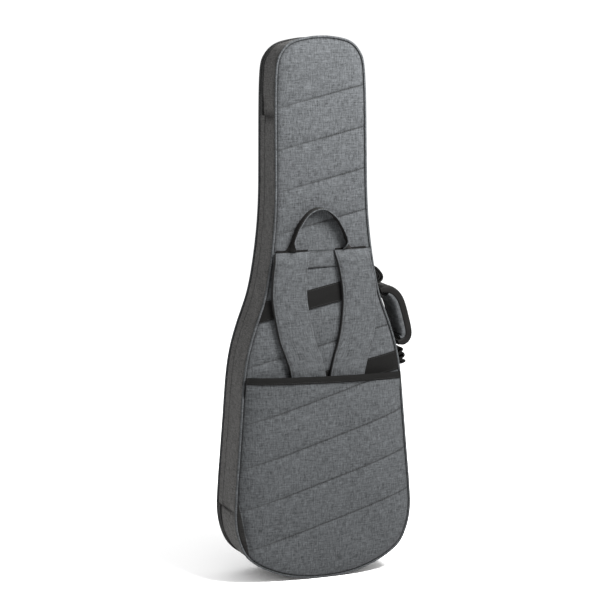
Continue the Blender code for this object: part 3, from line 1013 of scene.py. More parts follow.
def build_yoke():
    """The cloth strip that carries the straps' tops and the grab loop's feet."""
    half = (YOKE_HIGH - YOKE_LOW) / 2
    middle = (YOKE_HIGH + YOKE_LOW) / 2
    reach = half_width(middle) - 3
    share = np.concatenate([[-1, -0.985, -0.95], np.linspace(-0.88, 0.88, 15), [0.95, 0.985, 1]])
    rows, flats = [], []
    for x in np.linspace(-reach, reach, 90):
        row, flat = [], []
        for s in share:
            z = middle + s * half
            roll = (1 - abs(s) ** 8) * 1.7
            puff = 0.8 * (1 - s * s)
            y = float(over_back(np.array([x]), np.array([z]))[0]) - 0.2 - roll - puff
            y -= 0.45 * noise.noise((x / 16, 4, z / 16))
            row.append((x, y, z))
            flat.append((x, z))
        rows.append(row)
        flats.append(flat)
    yoke = grid_piece("strap_yoke_cloth", rows, flats, CLOTH, flip=True)
    # painted shade along the yoke's two sewn edges
    store_seam_shade(yoke, lambda x, y, z: np.maximum(sewn_line(z - YOKE_LOW, 2.4), sewn_line(YOKE_HIGH - z, 2.4)))
    thicken(yoke, 1.4)
    finish_piece(yoke, "back_shell", ["strap_yoke"])
    x = np.arange(-reach + 3, reach - 3, 2.0)
    sewn = []
    for s in (-0.8, 0.82):
        z = np.full(len(x), middle + s * half)
        y = over_back(x, z) - 0.2 - (1 - abs(s) ** 8) * 1.7 - 0.8 * (1 - s * s) - 0.2
        sewn.append(stitch_row(x, y, z, (0, -1, 0)))
    stitches("strap_yoke_stitches", sewn, "back_shell", GREY_THREAD, 3.6)


build_bands()
build_yoke()

# ---------------------------------------------------------------- sides: gussets, piping, zips

GUSSET_SET = 0.6
HINGE_FOLD = 34


def line_at(i, amount):
    """Outline point i, moved in by an amount, and its outward normal."""
    i = i % COUNT
    return OUTLINE[i] - NORMALS[i] * amount, NORMALS[i]


def numbers_between(low, high, side):
    """Outline numbers going round anticlockwise from behind, between two heights on one side."""
    half = range(0, COUNT // 2 + 1) if side > 0 else range(COUNT // 2, COUNT + 1)
    return [i for i in half if low <= OUTLINE[i % COUNT][1] <= high]


def gusset_profile(deep, hem):
    """Distances from the back piping towards the lid, and the cloth's swell there."""
    roll = [(1.6, -2.2), (2.4, -0.9), (3.4, 0.1), (5, 0.9), (6.6, 1.0), (8.0, 0.6), (9.0, -0.3),
            (9.7, -1.3), (10.6, -1.2), (12.0, -0.3), (14.5, 0.6)]
    body = [(14.5 + (deep - 14.5 - 5) * k / 12, 0.6 + 0.7 * math.sin(math.pi * k / 12))
            for k in range(1, 13)]
    tail = [(deep - 3.4, 0.35), (deep - 1.8, -0.1), (deep - 0.6, -0.9)] if hem else [(deep, 0.3)]
    return roll + body + tail


def side_wall(name, numbers, edge, seed, hem=True):
    """A stretch of padded side cloth through outline numbers, from the back piping to an edge."""
    rows, flats = [], []
    last = len(numbers) - 1
    for k, i in enumerate(numbers):
        point, normal = line_at(i, GUSSET_SET)
        z = point[1]
        deep = float(edge(z))
        seam = {0: -1.6, 1: -0.5}.get(min(k, last - k), 0.0)
        waist = math.exp(-((z - 560) / 130) ** 2)
        row, flat = [], []
        for y, swell in gusset_profile(deep, hem):
            inner = smooth(10, 22, y) * smooth(deep, deep - 12, y)
            crease = 1.5 * noise.noise((y / 26 + seed, ALONG[i % COUNT] / 38, seed))
            crease += waist * 2.6 * noise.noise((y / 40 + seed, ALONG[i % COUNT] / 17, 3))
            crease += 0.35 * noise.noise((y / 8, ALONG[i % COUNT] / 9, seed))
            off = swell + seam * (y > 9.5) + crease * inner
            xz = point + normal * off
            row.append((xz[0], y, xz[1]))
            flat.append((y, ALONG[i % COUNT] + (ALONG[-1] if i >= COUNT else 0)))
        rows.append(row)
        flats.append(flat)
    wall = grid_piece(name + "_cloth", rows, flats, SIDE_CLOTH)
    # painted shade along the wall's sewn lines
    store_seam_shade(wall, wall_seam_shading(numbers, edge))
    thicken(wall, 6.5, inner=LINING)
    wall.data.materials.append(CLOTH)
    for face in wall.data.polygons:
        if face.material_index == 0 and to_bag(face.center)[1] < 9.6:
            face.material_index = 2
    finish_piece(wall, "back_shell", [name])


def wall_seam_shading(numbers, edge):
    """Painted shade along the sewn lines of a side wall: both sides of its rolled strip, its hem and its
    cross seams.
    """
    ends = [OUTLINE[numbers[k] % COUNT] for k in (0, -1)]

    def amount(x, y, z):
        lines = np.maximum(sewn_line(y - 1.6, 1.7), sewn_line(y - 10.0, 1.3))
        lines = np.maximum(lines, sewn_line(edge(z) - y, 2.2))
        for spot in ends:
            away = np.hypot(x - spot[0], z - spot[1])
            lines = np.maximum(lines, sewn_line(away, 2.2) * (y > 9))
        return lines

    return amount


def shell_edge(z):
    return lid_y(z) - ZIP_Y - 0.6


def hinge_edge(z):
    return lid_y(z) - HINGE_FOLD


def build_gussets():
    right = numbers_between(GUSSET_LOW, GUSSET_HIGH, 1)
    left = numbers_between(GUSSET_LOW, GUSSET_HIGH, -1)
    head = list(range(right[-1], left[0] + 1))
    base = list(range(left[-1], COUNT + right[0] + 1))
    side_wall("zip_side_gusset", right, shell_edge, 2)
    side_wall("head_gusset", head, shell_edge, 5)
    side_wall("base_gusset", base, shell_edge, 8)
    side_wall("hinge_side_gusset", left, hinge_edge, 11, hem=False)
    build_hinge_cloth(left)


def build_hinge_cloth(numbers):
    """The last stretch of side cloth before the lid's piping."""
    rows, flats = [], []
    for i in numbers:
        point, normal = line_at(i, GUSSET_SET)
        edge = float(lid_y(point[1]))
        row, flat = [], []
        for t in np.linspace(0, 1, 15):
            y = edge - HINGE_FOLD + 0.2 + (HINGE_FOLD - 5.6) * t
            swell = 0.3 + 0.5 * math.sin(math.pi * t) - 1.6 * max(0, t - 0.86) / 0.14
            crease = 0.7 * noise.noise((y / 26 + 11, ALONG[i % COUNT] / 38, 11)) * math.sin(math.pi * t)
            xz = point + normal * (swell + crease)
            row.append((xz[0], y, xz[1]))
            flat.append((y, ALONG[i % COUNT]))
        rows.append(row)
        flats.append(flat)
    cloth = grid_piece("lid_hinge_cloth", rows, flats, SIDE_CLOTH)
    thicken(cloth, 3.0, inner=LINING)
    edge_x, middle = -half_width(520), lid_y(520)
    start = to_world((edge_x, middle - HINGE_FOLD + 4, 520))
    end = to_world((edge_x, middle - 6.5, 520))
    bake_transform(cloth)


def piping(name, y_of, body, node):
    """Cord wrapped in cloth, sewn round the whole outline."""
    rows, flats = [], []
    sides = 10
    for i in range(COUNT + 1):
        point, normal = line_at(i, 0)
        y = float(y_of(point[1]))
        row, flat = [], []
        for k in range(sides + 1):
            a = 2 * math.pi * k / sides
            lump = PIPING_R * (1 + 0.05 * noise.noise((ALONG[i % COUNT] / 11, a, PIPING_R)))
            xz = point + normal * math.cos(a) * lump
            row.append((xz[0], y - math.sin(a) * lump, xz[1]))
            flat.append((a * PIPING_R, ALONG[i] if i < COUNT else ALONG[-1]))
        rows.append(row)
        flats.append(flat)
    finish_piece(grid_piece(name, rows, flats, CLOTH), body, [node])


def zip_numbers():
    left = numbers_between(GUSSET_LOW, GUSSET_HIGH, -1)
    return list(range(left[-1], COUNT + left[0] + 1))


def tape(name, y_from, y_to, out, body, node, bulge=0.0):
    """One side of the zip's knitted tape, all the way round from hinge end to hinge end."""
    rows, flats = [], []
    for i in zip_numbers():
        point, normal = line_at(i, 0)
        z = point[1]
        row, flat = [], []
        for t in np.linspace(0, 1, 9):
            y = float(y_from(z)) * (1 - t) + float(y_to(z)) * t
            ripple = 0.25 * noise.noise((ALONG[i % COUNT] / 14, t, 1.0))
            xz = point + normal * (out + bulge * math.sin(math.pi * t) + ripple)
            row.append((xz[0], y, xz[1]))
            flat.append((y, ALONG[i % COUNT] + (ALONG[-1] if i >= COUNT else 0)))
        rows.append(row)
        flats.append(flat)
    made = grid_piece(name, rows, flats, ZIP_TAPE)
    thicken(made, 0.9)
    return finish_piece(made, body, [node])


def coil(name, path, across, outward, body, phase, pitch=2.2, reach=2.6):
    """One side of a nylon coil: small rounded teeth along a path, in bag millimetres."""
    path, across, outward = (np.asarray(v, float) for v in (path, across, outward))
    far = run_of(path)
    outline = [(-0.62, -reach), (0.62, -reach), (0.62, 0.2), (0.35, 0.75), (-0.35, 0.75),
               (-0.62, 0.2)]
    verts, faces = [], []
    for at in np.arange(pitch + phase, far[-1] - pitch, pitch):
        spot, side, out = (value_at(at, far, v) for v in (path, across, outward))
        ahead = value_at(at + 0.5, far, path)
        along = (ahead - spot) / np.linalg.norm(ahead - spot)
        first = len(verts)
        for up, shrink in ((-0.5, 1.0), (0.35, 1.0), (0.75, 0.55)):
            for a, b in outline:
                verts.append(spot + along * a * shrink + side * (b * (0.5 + 0.5 * shrink))
                             + out * up)
        count = len(outline)
        for layer in (0, count):
            for k in range(count):
                n = (k + 1) % count
                faces.append([first + layer + k, first + layer + n, first + layer + count + n,
                              first + layer + count + k])
        faces.append([first + k for k in reversed(range(count))])
        faces.append([first + 2 * count + k for k in range(count)])
    return finish_piece(solid_bits(name, verts, faces, COIL, 40), body)


def build_main_zip():
    tape("shell_zip_tape", lambda z: lid_y(z) - ZIP_Y - 12.4, lambda z: lid_y(z) - ZIP_Y - 0.5, 1.7,
         "back_shell", "zip_tape_shell", 0.2)
    tape("lid_zip_tape", lambda z: lid_y(z) - ZIP_Y + 0.5, lambda z: lid_y(z) - 5.0, 1.4,
         "lid", "zip_tape_lid", 0.5)
    numbers = zip_numbers()[3:-3]
    path, normal = [], []
    for i in numbers:
        point, out = line_at(i, -1.9)
        path.append((point[0], float(lid_y(point[1])) - ZIP_Y, point[1]))
        normal.append((out[0], 0, out[1]))
    towards = np.tile((0, 1.0, 0), (len(path), 1))
    coil("shell_zip_coil", path, towards, normal, "back_shell", 0.0)
    coil("lid_zip_coil", path, -towards, normal, "lid", 1.1)


build_gussets()
piping("back_piping_cloth", lambda z: 0.0, "back_shell", "rear_piping")
piping("lid_piping_cloth", lambda z: lid_y(z) - PIPING_R - 1.0, "lid", "front_piping")
build_main_zip()

# ---------------------------------------------------------------- shoulder straps

# Heights and middles of the two straps, which lean inwards to the pocket's rim
STRAP_LINES = {"left": [(650, -61.5), (600, -68), (555, -69.5), (510, -62.5), (470, -53.5), (430, -39),
                        (400, -33), (365, -32), (335, -33)],
               "right": [(650, 56), (600, 67), (555, 73), (510, 71), (470, 64.5), (430, 53),
                         (400, 46), (365, 41), (335, 39)]}
STRAP_HALVES = [(650, 33.5), (600, 33.5), (520, 34.5), (440, 35), (335, 33.5)]
STRAP_BACK, STRAP_FACE = -5.4, -17.0
STRAP_FOOT = 335


def strap_middle(word, z):
    line = np.array(STRAP_LINES[word][::-1], float)
    k = np.clip(np.searchsorted(line[:, 0], z) - 1, 0, len(line) - 2)
    near = line[np.clip(np.arange(k - 1, k + 3), 0, len(line) - 1)]
    t = (z - near[1, 0]) / (near[2, 0] - near[1, 0])
    return float(curve_between(*near[:, 1], t))


def strap_half(z):
    return float(np.interp(-z, [-p[0] for p in STRAP_HALVES], [p[1] for p in STRAP_HALVES]))


def strap_depths(z):
    """The y of a strap's back and of its face's edge: thin at the sewn top, then full."""
    rise = float(smooth(650, 622, z))
    back = STRAP_BACK + 1.0 + 1.4 * rise
    return back, back - 5.6 - (STRAP_BACK - STRAP_FACE - 4.2) * rise


def strap_section(z, seed):
    """Cloth over the face, then mesh down the walls and round the back, as (across, y)."""
    half = strap_half(z)
    back, face = strap_depths(z)
    deep = back - face
    points = []
    for a in np.linspace(-1, 1, 27):
        roll = min(1.3, deep * 0.3) * abs(a) ** 14
        crown = 1.5 * (1 - a * a) * min(1, deep / 9)
        wrinkle = 0.5 * noise.noise((a * 2.2 + seed, z / 26, 2)) + 0.3 * noise.noise((a * 5, z / 11, seed))
        points.append((a * half, face + roll - crown - wrinkle * (1 - a ** 8) * min(1, deep / 9)))
    lower = [(x * (half - 1.6), back - 0.5 * (1 - x * x)) for x in np.linspace(1, -1, 11)]
    right = [(half - 0.2, face + 1.6), (half - 0.7, face + 2.4),
             (half - 0.3, face + deep * 0.5), (half - 0.8, face + deep * 0.8)]
    # Partly painted shade: the left wall bulges further out than the right, so its black mesh stands for the
    # strap's black side and for the shade along its left edge.
    left = [(-half - 1.2, face + deep * 0.8), (-half - 1.9, face + deep * 0.5),
            (-half - 1.6, face + 2.6), (-half - 0.4, face + 1.4)]
    return points, right + lower + left


def strap_spans():
    """Each length of a strap: its name, the one above, its top, its bottom, and where it bends."""
    high, low = (STRAP_TOP + STRAP_MID) / 2, (STRAP_MID + STRAP_LOW) / 2
    return (("upper", "", STRAP_TOP - 3.5, high, (STRAP_TOP + 2, high + 12)),
            ("lower", "upper", high, low, (high - 12, low + 12)),
            ("end", "lower", low, STRAP_FOOT, (low - 12, 368)))


def blend_length(obj, word, node, above, bend):
    """Bake a piece of strap's place into its mesh."""
    mid = strap_middle(word, sum(bend) / 2)
    start, end = (to_world((mid, -8, z)) for z in bend)
    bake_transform(obj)
    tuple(start)
    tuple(end)


def strap_length(word, seed, node, above, z_top, z_low, bend):
    """A stretch of padded strap, in cloth on its face and mesh behind."""
    zs = np.arange(z_top, z_low - 0.01, -3.2)
    zs = np.append(zs, z_low) if zs[-1] > z_low + 0.5 else zs
    rows, flats = [], []
    for z in zs:
        mid = strap_middle(word, z)
        face, rest = strap_section(z, seed)
        loop = face + rest + face[:1]
        rows.append([(mid + x, y, z) for x, y in loop])
        flats.append([(r, z) for r in run_of(np.array(loop))])
    strap = grid_piece(f"strap_{word}_{node}_pad", rows, flats, CLOTH, flip=True)
    strap.data.materials.append(MESH)
    close_ends(strap)
    for face in strap.data.polygons:
        _, y, z = to_bag(face.center)
        if y > strap_depths(z)[1] + 1.7:
            face.material_index = 1
    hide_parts(f"strap_{word}_{node}")
    blend_length(strap, word, node, above, bend)


def build_straps():
    for word, seed in (("left", 3), ("right", 9)):
        for span in strap_spans():
            strap_length(word, seed, *span)
        build_strap_seams(word, seed)
        build_top_seam(word, strap_middle(word, STRAP_TOP))
        build_strap_tail(word)


def build_strap_seams(word, seed):
    """The stitch line along each edge of a strap's face."""
    for part, above, high, low, bend in strap_spans():
        high = 640 if part == "upper" else high
        low = STRAP_FOOT + 2 if part == "end" else low
        rows = []
        for share in (-0.9, 0.9):
            line = []
            for z in np.arange(high - 1, low + 1, -2.5):
                face, _ = strap_section(z, seed)
                xs = np.array([p[0] for p in face])
                half = xs.max()
                y = np.interp(share * half, xs, [p[1] for p in face])
                line.append((strap_middle(word, z) + share * half, y - 0.1, z))
            rows.append((line, np.tile((0, -1, 0), (len(line), 1))))
        body = f"strap_{word}_{above}" if above else "back_shell"
        sewn = stitches(f"strap_{word}_{part}_stitches", rows, body, GREY_THREAD, 3.8)
        sewn.parent = None
        blend_length(sewn, word, part, above, bend)


def build_top_seam(word, middle):
    """The bound seam that holds a strap's top edge down; its dark tape also stands for the shade along the
    strap's top hem.
    """
    rows, flats = [], []
    for x in np.linspace(-31.5, 31.5, 40):
        ripple = 0.3 * noise.noise((x / 7, middle / 9, 1))
        fold = [(-4.2, -7.2), (-5.6, -5.2), (-6.0, -1.5), (-5.2, 1.0), (-2.6, 1.8)]
        rows.append([(middle + x, y - ripple, STRAP_TOP - 1.5 + up + ripple) for y, up in fold])
        flats.append([(up, x) for _, up in fold])
    seam = grid_piece(f"strap_{word}_top_seam", rows, flats, BINDING)
    thicken(seam, 0.8, 0)
    finish_piece(seam, "back_shell")


def build_strap_tail(word):
    """The adjusting webbing, its ladder buckle, and the tab and ring sewn inside the pocket."""
    body = f"strap_{word}_end"
    low, high = bag_box(f"strap_{word}_webbing")
    y_mid = (low[1] + high[1]) / 2
    zs = np.linspace(high[2] + 3, low[2], 26)
    top_mid = strap_middle(word, 336)
    box_mid = box_middle(f"strap_{word}_buckle")
    rows, flats = [], []
    for z in zs:
        t = (zs[0] - z) / (zs[0] - zs[-1])
        mid = top_mid * (1 - t) + box_mid[0] * t
        xs = np.linspace(-18.5, 18.5, 9)
        rows.append([(mid + x, y_mid - 0.4 * math.sin(6 * t) + 0.05 * abs(x) * 0.2, z) for x in xs])
        flats.append([(x, z) for x in xs])
    web = grid_piece(f"strap_{word}_tail_webbing", rows, flats, WEBBING, flip=True)
    thicken(web, 1.5)
    finish_piece(web, body, [f"strap_{word}_webbing"])
    build_ladder_buckle(word, box_mid, body)
    build_ring_tab(word)


# ---------------------------------------------------------------- hardware, as made by hand


def start_from_cube(name, size, at):
    """A cube of a size, in bag millimetres, with nothing else selected."""
    bpy.ops.object.select_all(action="DESELECT")
    bpy.ops.mesh.primitive_cube_add(size=1, location=to_world(at))
    obj = bpy.context.active_object
    obj.name = name
    obj.data.name = name
    obj.scale = [length * MM for length in size]
    bpy.ops.object.transform_apply(location=False, rotation=False, scale=True)
    return obj


def pick_faces(obj, test):
    """In edit mode, select only the faces whose centre and normal pass a test."""
    bpy.ops.mesh.select_mode(type="FACE")
    bpy.ops.mesh.select_all(action="DESELECT")
    bm = bmesh.from_edit_mesh(obj.data)
    for face in bm.faces:
        face.select = bool(test(face.calc_center_median() / MM, face.normal))
    bm.select_flush_mode()
    bmesh.update_edit_mesh(obj.data)


def edit(obj):
    select_only(obj)
    bpy.ops.object.mode_set(mode="EDIT")


def leave_edit():
    bpy.ops.mesh.select_all(action="SELECT")
    bpy.ops.mesh.normals_make_consistent(inside=False)
    bpy.ops.object.mode_set(mode="OBJECT")


def settle(obj, mat, rounding, segments=2):
    """Round the edges, bake the place into the mesh and give the finish."""
    mod = obj.modifiers.new("rounded_edges", "BEVEL")
    mod.width = rounding * MM
    mod.segments = segments
    mod.limit_method = "ANGLE"
    mod.angle_limit = math.radians(32)
    apply_all(obj)
    select_only(obj)
    bpy.ops.object.transform_apply(location=True, rotation=True, scale=True)
    obj.select_set(False)
    obj.data.materials.clear()
    obj.data.materials.append(mat)
    return smooth_shaded(obj, 40)


def merge(name, objects):
    bpy.ops.object.select_all(action="DESELECT")
    for obj in objects:
        obj.select_set(True)
    bpy.context.view_layer.objects.active = objects[0]
    bpy.ops.object.join()
    joined = bpy.context.active_object
    joined.name = name
    joined.data.name = name
    joined.select_set(False)
    return joined


def windowed_plate(name, size, at, frame_wide, cuts=()):
    """A plate, thin in y, with a window between each pair of cuts across its height."""
    obj = start_from_cube(name, size, at)
    edit(obj)
    for z in cuts:
        bpy.ops.mesh.select_all(action="SELECT")
        bpy.ops.mesh.bisect(plane_co=to_world((at[0], at[1], at[2] + z)), plane_no=(0, 0, 1))
    spans = len(cuts) + 1
    pick_faces(obj, lambda c, n: abs(n.y) > 0.9)
    bpy.ops.mesh.inset(thickness=frame_wide * MM, use_individual=True)
    middles = sorted({round(f.calc_center_median().z / MM, 1) for f in
                      bmesh.from_edit_mesh(obj.data).faces if f.select})
    for z in middles[:spans]:
        pick_faces(obj, lambda c, n: abs(n.y) > 0.9 and abs(c.z - z) < 0.3
                   and abs(c.x - local_x(obj, at)) < 1.0)
        bpy.ops.mesh.bridge_edge_loops()
    leave_edit()
    return obj


def local_x(obj, at):
    """A bag x in the object's own millimetres."""
    return (to_world(at)[0] - obj.location.x) / MM


def build_ladder_buckle(word, middle, body):
    """Ladder lock: a frame with two slots, a gripping bar and a thumb lip."""
    low, high = bag_box(f"strap_{word}_buckle")
    size = high - low
    frame_part = windowed_plate(f"strap_{word}_ladder_buckle", (size[0], 3.2, size[2]), middle, 2.6,
                                (1.5,))
    settle(frame_part, PLASTIC, 0.6)
    lip = start_from_cube("lip", (size[0] - 6, 4.6, 3.0), (middle[0], middle[1] - 0.9, low[2] + 2.2))
    edit(lip)
    pick_faces(lip, lambda c, n: n.y < -0.9)
    bpy.ops.mesh.inset(thickness=0.7 * MM)
    bpy.ops.transform.translate(value=(0, 0.5 * MM, -0.6 * MM))
    leave_edit()
    settle(lip, PLASTIC, 0.5)
    bar = start_from_cube("bar", (size[0] - 4, 4.4, 2.6), (middle[0], middle[1] - 0.6, middle[2] + 1.5))
    edit(bar)
    for k in range(-6, 7):
        bpy.ops.mesh.select_all(action="SELECT")
        bpy.ops.mesh.bisect(plane_co=(k * 2.6 * MM + bar.location.x, 0, 0), plane_no=(1, 0, 0))
    pick_faces(bar, lambda c, n: n.y < -0.9 and int(round((c.x + 100) / 2.6)) % 2 == 0)
    bpy.ops.mesh.extrude_region_move(TRANSFORM_OT_translate={"value": (0, -0.5 * MM, 0)})
    leave_edit()
    settle(bar, PLASTIC, 0.25, 1)
    buckle = merge(f"strap_{word}_ladder_buckle", [frame_part, lip, bar])
    finish_piece(buckle, body, [f"strap_{word}_buckle"])


def build_ring_tab(word):
    """The lower anchor: a webbing tab folded round a flat metal ring."""
    low, high = bag_box(f"strap_{word}_d_ring")
    middle, size = (low + high) / 2, high - low
    ring = windowed_plate(f"strap_{word}_flat_ring", size, middle, 4.2)
    settle(ring, METAL, 1.1, 3)
    finish_piece(ring, "back_shell", [f"strap_{word}_d_ring"])
    low, high = bag_box(f"strap_{word}_tab")
    mid_x, half = (low[0] + high[0]) / 2, (high[0] - low[0]) / 2
    back = high[1]
    hug = middle[2] - size[2] / 2 + 2.1
    path = [(back - 0.4, low[2]), (back - 0.4, hug - 4), (back - 0.2, hug - 1), (middle[1] + 2.7, hug + 3.0),
            (middle[1], hug + 4.4), (middle[1] - 2.7, hug + 3.0), (middle[1] - 2.9, hug),
            (middle[1] - 2.2, hug - 6), (back - 2.4, hug - 12), (back - 2.1, low[2] + 1)]
    rows, flats = [], []
    reach = 0
    for k, (y, z) in enumerate(path):
        if k:
            reach += math.hypot(y - path[k - 1][0], z - path[k - 1][1])
        rows.append([(mid_x + x, y, z) for x in np.linspace(-half, half, 7)])
        flats.append([(x, reach) for x in np.linspace(-half, half, 7)])
    tab = grid_piece(f"strap_{word}_ring_tab", rows, flats, WEBBING, flip=True)
    thicken(tab, 1.2, 0)
    finish_piece(tab, "back_shell", [f"strap_{word}_tab"])
    x = np.arange(mid_x - half + 3, mid_x + half - 3, 1.5)
    sewn = [stitch_row(x, back - 3.2, z, (0, -1, 0)) for z in (low[2] + 4, low[2] + 8)]
    stitches(f"strap_{word}_tab_stitches", sewn, "back_shell", BLACK_THREAD, 3.0)


build_straps()

# ---------------------------------------------------------------- grab loop


def build_grab_loop():
    """A cloth band on edge, its near edge bound in grey cloth and its faces in near-black cloth as painted
    shade, twisted flat only at its feet.
    """
    low, high = bag_box("grab_loop")
    middle, half = (low[0] + high[0]) / 2 + 1.5, (high[0] - low[0]) / 2 + 1.5
    foot, crown = YOKE_HIGH - 4, high[2] - 6
    near_y = low[1]
    wide = (high[1] - low[1]) / 2 + 2
    steps = 84
    line = []
    for k in range(steps + 1):
        a = math.pi * k / steps
        line.append((middle - half * math.cos(a), foot + (crown - foot) * max(math.sin(a), 0) ** 1.4))
    line = np.array(line)
    tangents = np.gradient(line, axis=0)
    tangents /= np.linalg.norm(tangents, axis=1)[:, None] + 1e-12
    out_rows, flats = [], []
    total = 0.0
    for k, (x, z) in enumerate(line):
        lift = math.sin(math.pi * k / steps)
        turn = float(smooth(0.0, 0.42, lift)) * math.pi / 2
        outward = np.array([-tangents[k][1], tangents[k][0]])
        if k:
            total += np.linalg.norm(line[k] - line[k - 1])
        flare = 1 + 0.25 * math.cos(turn)
        y_mid = -6.2 + (near_y + wide + 6.2) * math.sin(turn)
        side = 1 if k < steps / 2 else -1
        row, flat = [], []
        for s in np.linspace(-1, 1, 9):
            reach = s * wide * flare
            flat_part = reach * math.cos(turn) * 0.75
            curl = 0.8 * (1 - s * s) * math.sin(turn)
            ripple = 0.5 * noise.noise((total / 18, s, 2.0))
            row.append((x + outward[0] * (curl + ripple) + side * flat_part,
                        y_mid - reach * math.sin(turn),
                        z + outward[1] * (curl + ripple)))
            flat.append((s * wide, total))
        out_rows.append(row)
        flats.append(flat)
    # painted shade: the band's faces take the near-black cloth, its rim the grey cloth
    band = grid_piece("grab_loop_band", out_rows, flats, SHADE_CLOTH)
    band.data.materials.append(CLOTH)
    mod = band.modifiers.new("thickness", "SOLIDIFY")
    mod.thickness = 2.6 * MM
    mod.offset = 0
    mod.material_offset_rim = 1
    apply_all(band)
    mod = band.modifiers.new("soft_edges", "BEVEL")
    mod.width = 0.7 * MM
    mod.segments = 2
    mod.limit_method = "ANGLE"
    apply_all(band)
    smooth_shaded(band, 60)
    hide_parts("grab_loop")
    pivot = joint_spot("grab_loop_hinge")
    lifting = [to_world((pivot[0], pivot[1], pivot[2] + dz)) for dz in (-9, 9)]
    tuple(lifting[0])
    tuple(lifting[1])
    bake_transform(band)
    sewn = []
    for s in (-0.78, 0.78):
        line3, outs = [], []
        for k in range(2, steps - 1):
            p = np.array(out_rows[k])
            q = p[4] + (p[8] - p[4]) * s if s > 0 else p[4] + (p[0] - p[4]) * -s
            n = np.array([-tangents[k][1], 0, tangents[k][0]])
            face = np.cross(p[8] - p[0], np.array(out_rows[k + 1][4]) - np.array(out_rows[k - 1][4]))
            face /= np.linalg.norm(face)
            face = face if face @ n >= 0 else -face
            line3.append(q + face * 1.35)
            outs.append(face)
        sewn.append((line3, outs))
    sewn_rows = stitches("grab_loop_stitches", sewn, "grab_loop", GREY_THREAD, 3.8)
    sewn_rows.parent = None
    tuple(lifting[0])
    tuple(lifting[1])
    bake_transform(sewn_rows)


build_grab_loop()

# ---------------------------------------------------------------- carry handle and its anchors

HANDLE_MIDDLES = [(128, 556), (138, 557.5), (150, 555), (163, 545), (172.5, 528), (181.5, 496),
                  (186.5, 472), (185, 460), (178, 452.5), (165, 450)]
HANDLE_WIDE, HANDLE_THICK, HANDLE_SHIFT = 66, 14, 5
HANDLE_HALF = HANDLE_WIDE / 2


def curve_through(points, per_span):
    """A Catmull-Rom curve through points, per_span steps to a span."""
    points = np.asarray(points, float)
    ends = np.vstack([2 * points[0] - points[1], points, 2 * points[-1] - points[-2]])
    out = []
    for i in range(len(points) - 1):
        out += [curve_between(*ends[i:i + 4], t) for t in np.arange(per_span) / per_span]
    out.append(points[-1])
    return np.array(out)


def swept(name, path, section, y_mid, mat):
    """A closed section, in (y, off the path), carried along a path in x and z."""
    left, run = path_frames(path)
    rows, flats = [], []
    for k, p in enumerate(path):
        loop = section(k / (len(path) - 1), run[k])
        loop = np.vstack([loop, loop[:1]])
        around = run_of(loop)
        rows.append([(p[0] + left[k][0] * off, y_mid + y, p[1] + left[k][1] * off) for y, off in loop])
        flats.append([(a, run[k]) for a in around])
    return close_ends(grid_piece(name, rows, flats, mat))


def rounded_rectangle(wide, tall, radius, corner_steps=5):
    """Points round a rectangle with round corners, centred on zero."""
    out = []
    for sx, sy, start in ((1, 1, 0), (-1, 1, 90), (-1, -1, 180), (1, -1, 270)):
        for k in range(corner_steps + 1):
            a = math.radians(start + 90 * k / corner_steps)
            out.append((sx * (wide / 2 - radius) + radius * math.cos(a),
                        sy * (tall / 2 - radius) + radius * math.sin(a)))
        if sx == sy:
            out += [((wide / 2 - radius) * t * sx, sy * tall / 2) for t in (0.75, 0.5, 0.25, 0, -0.25,
                                                                           -0.5, -0.75)]
    return np.array(out)


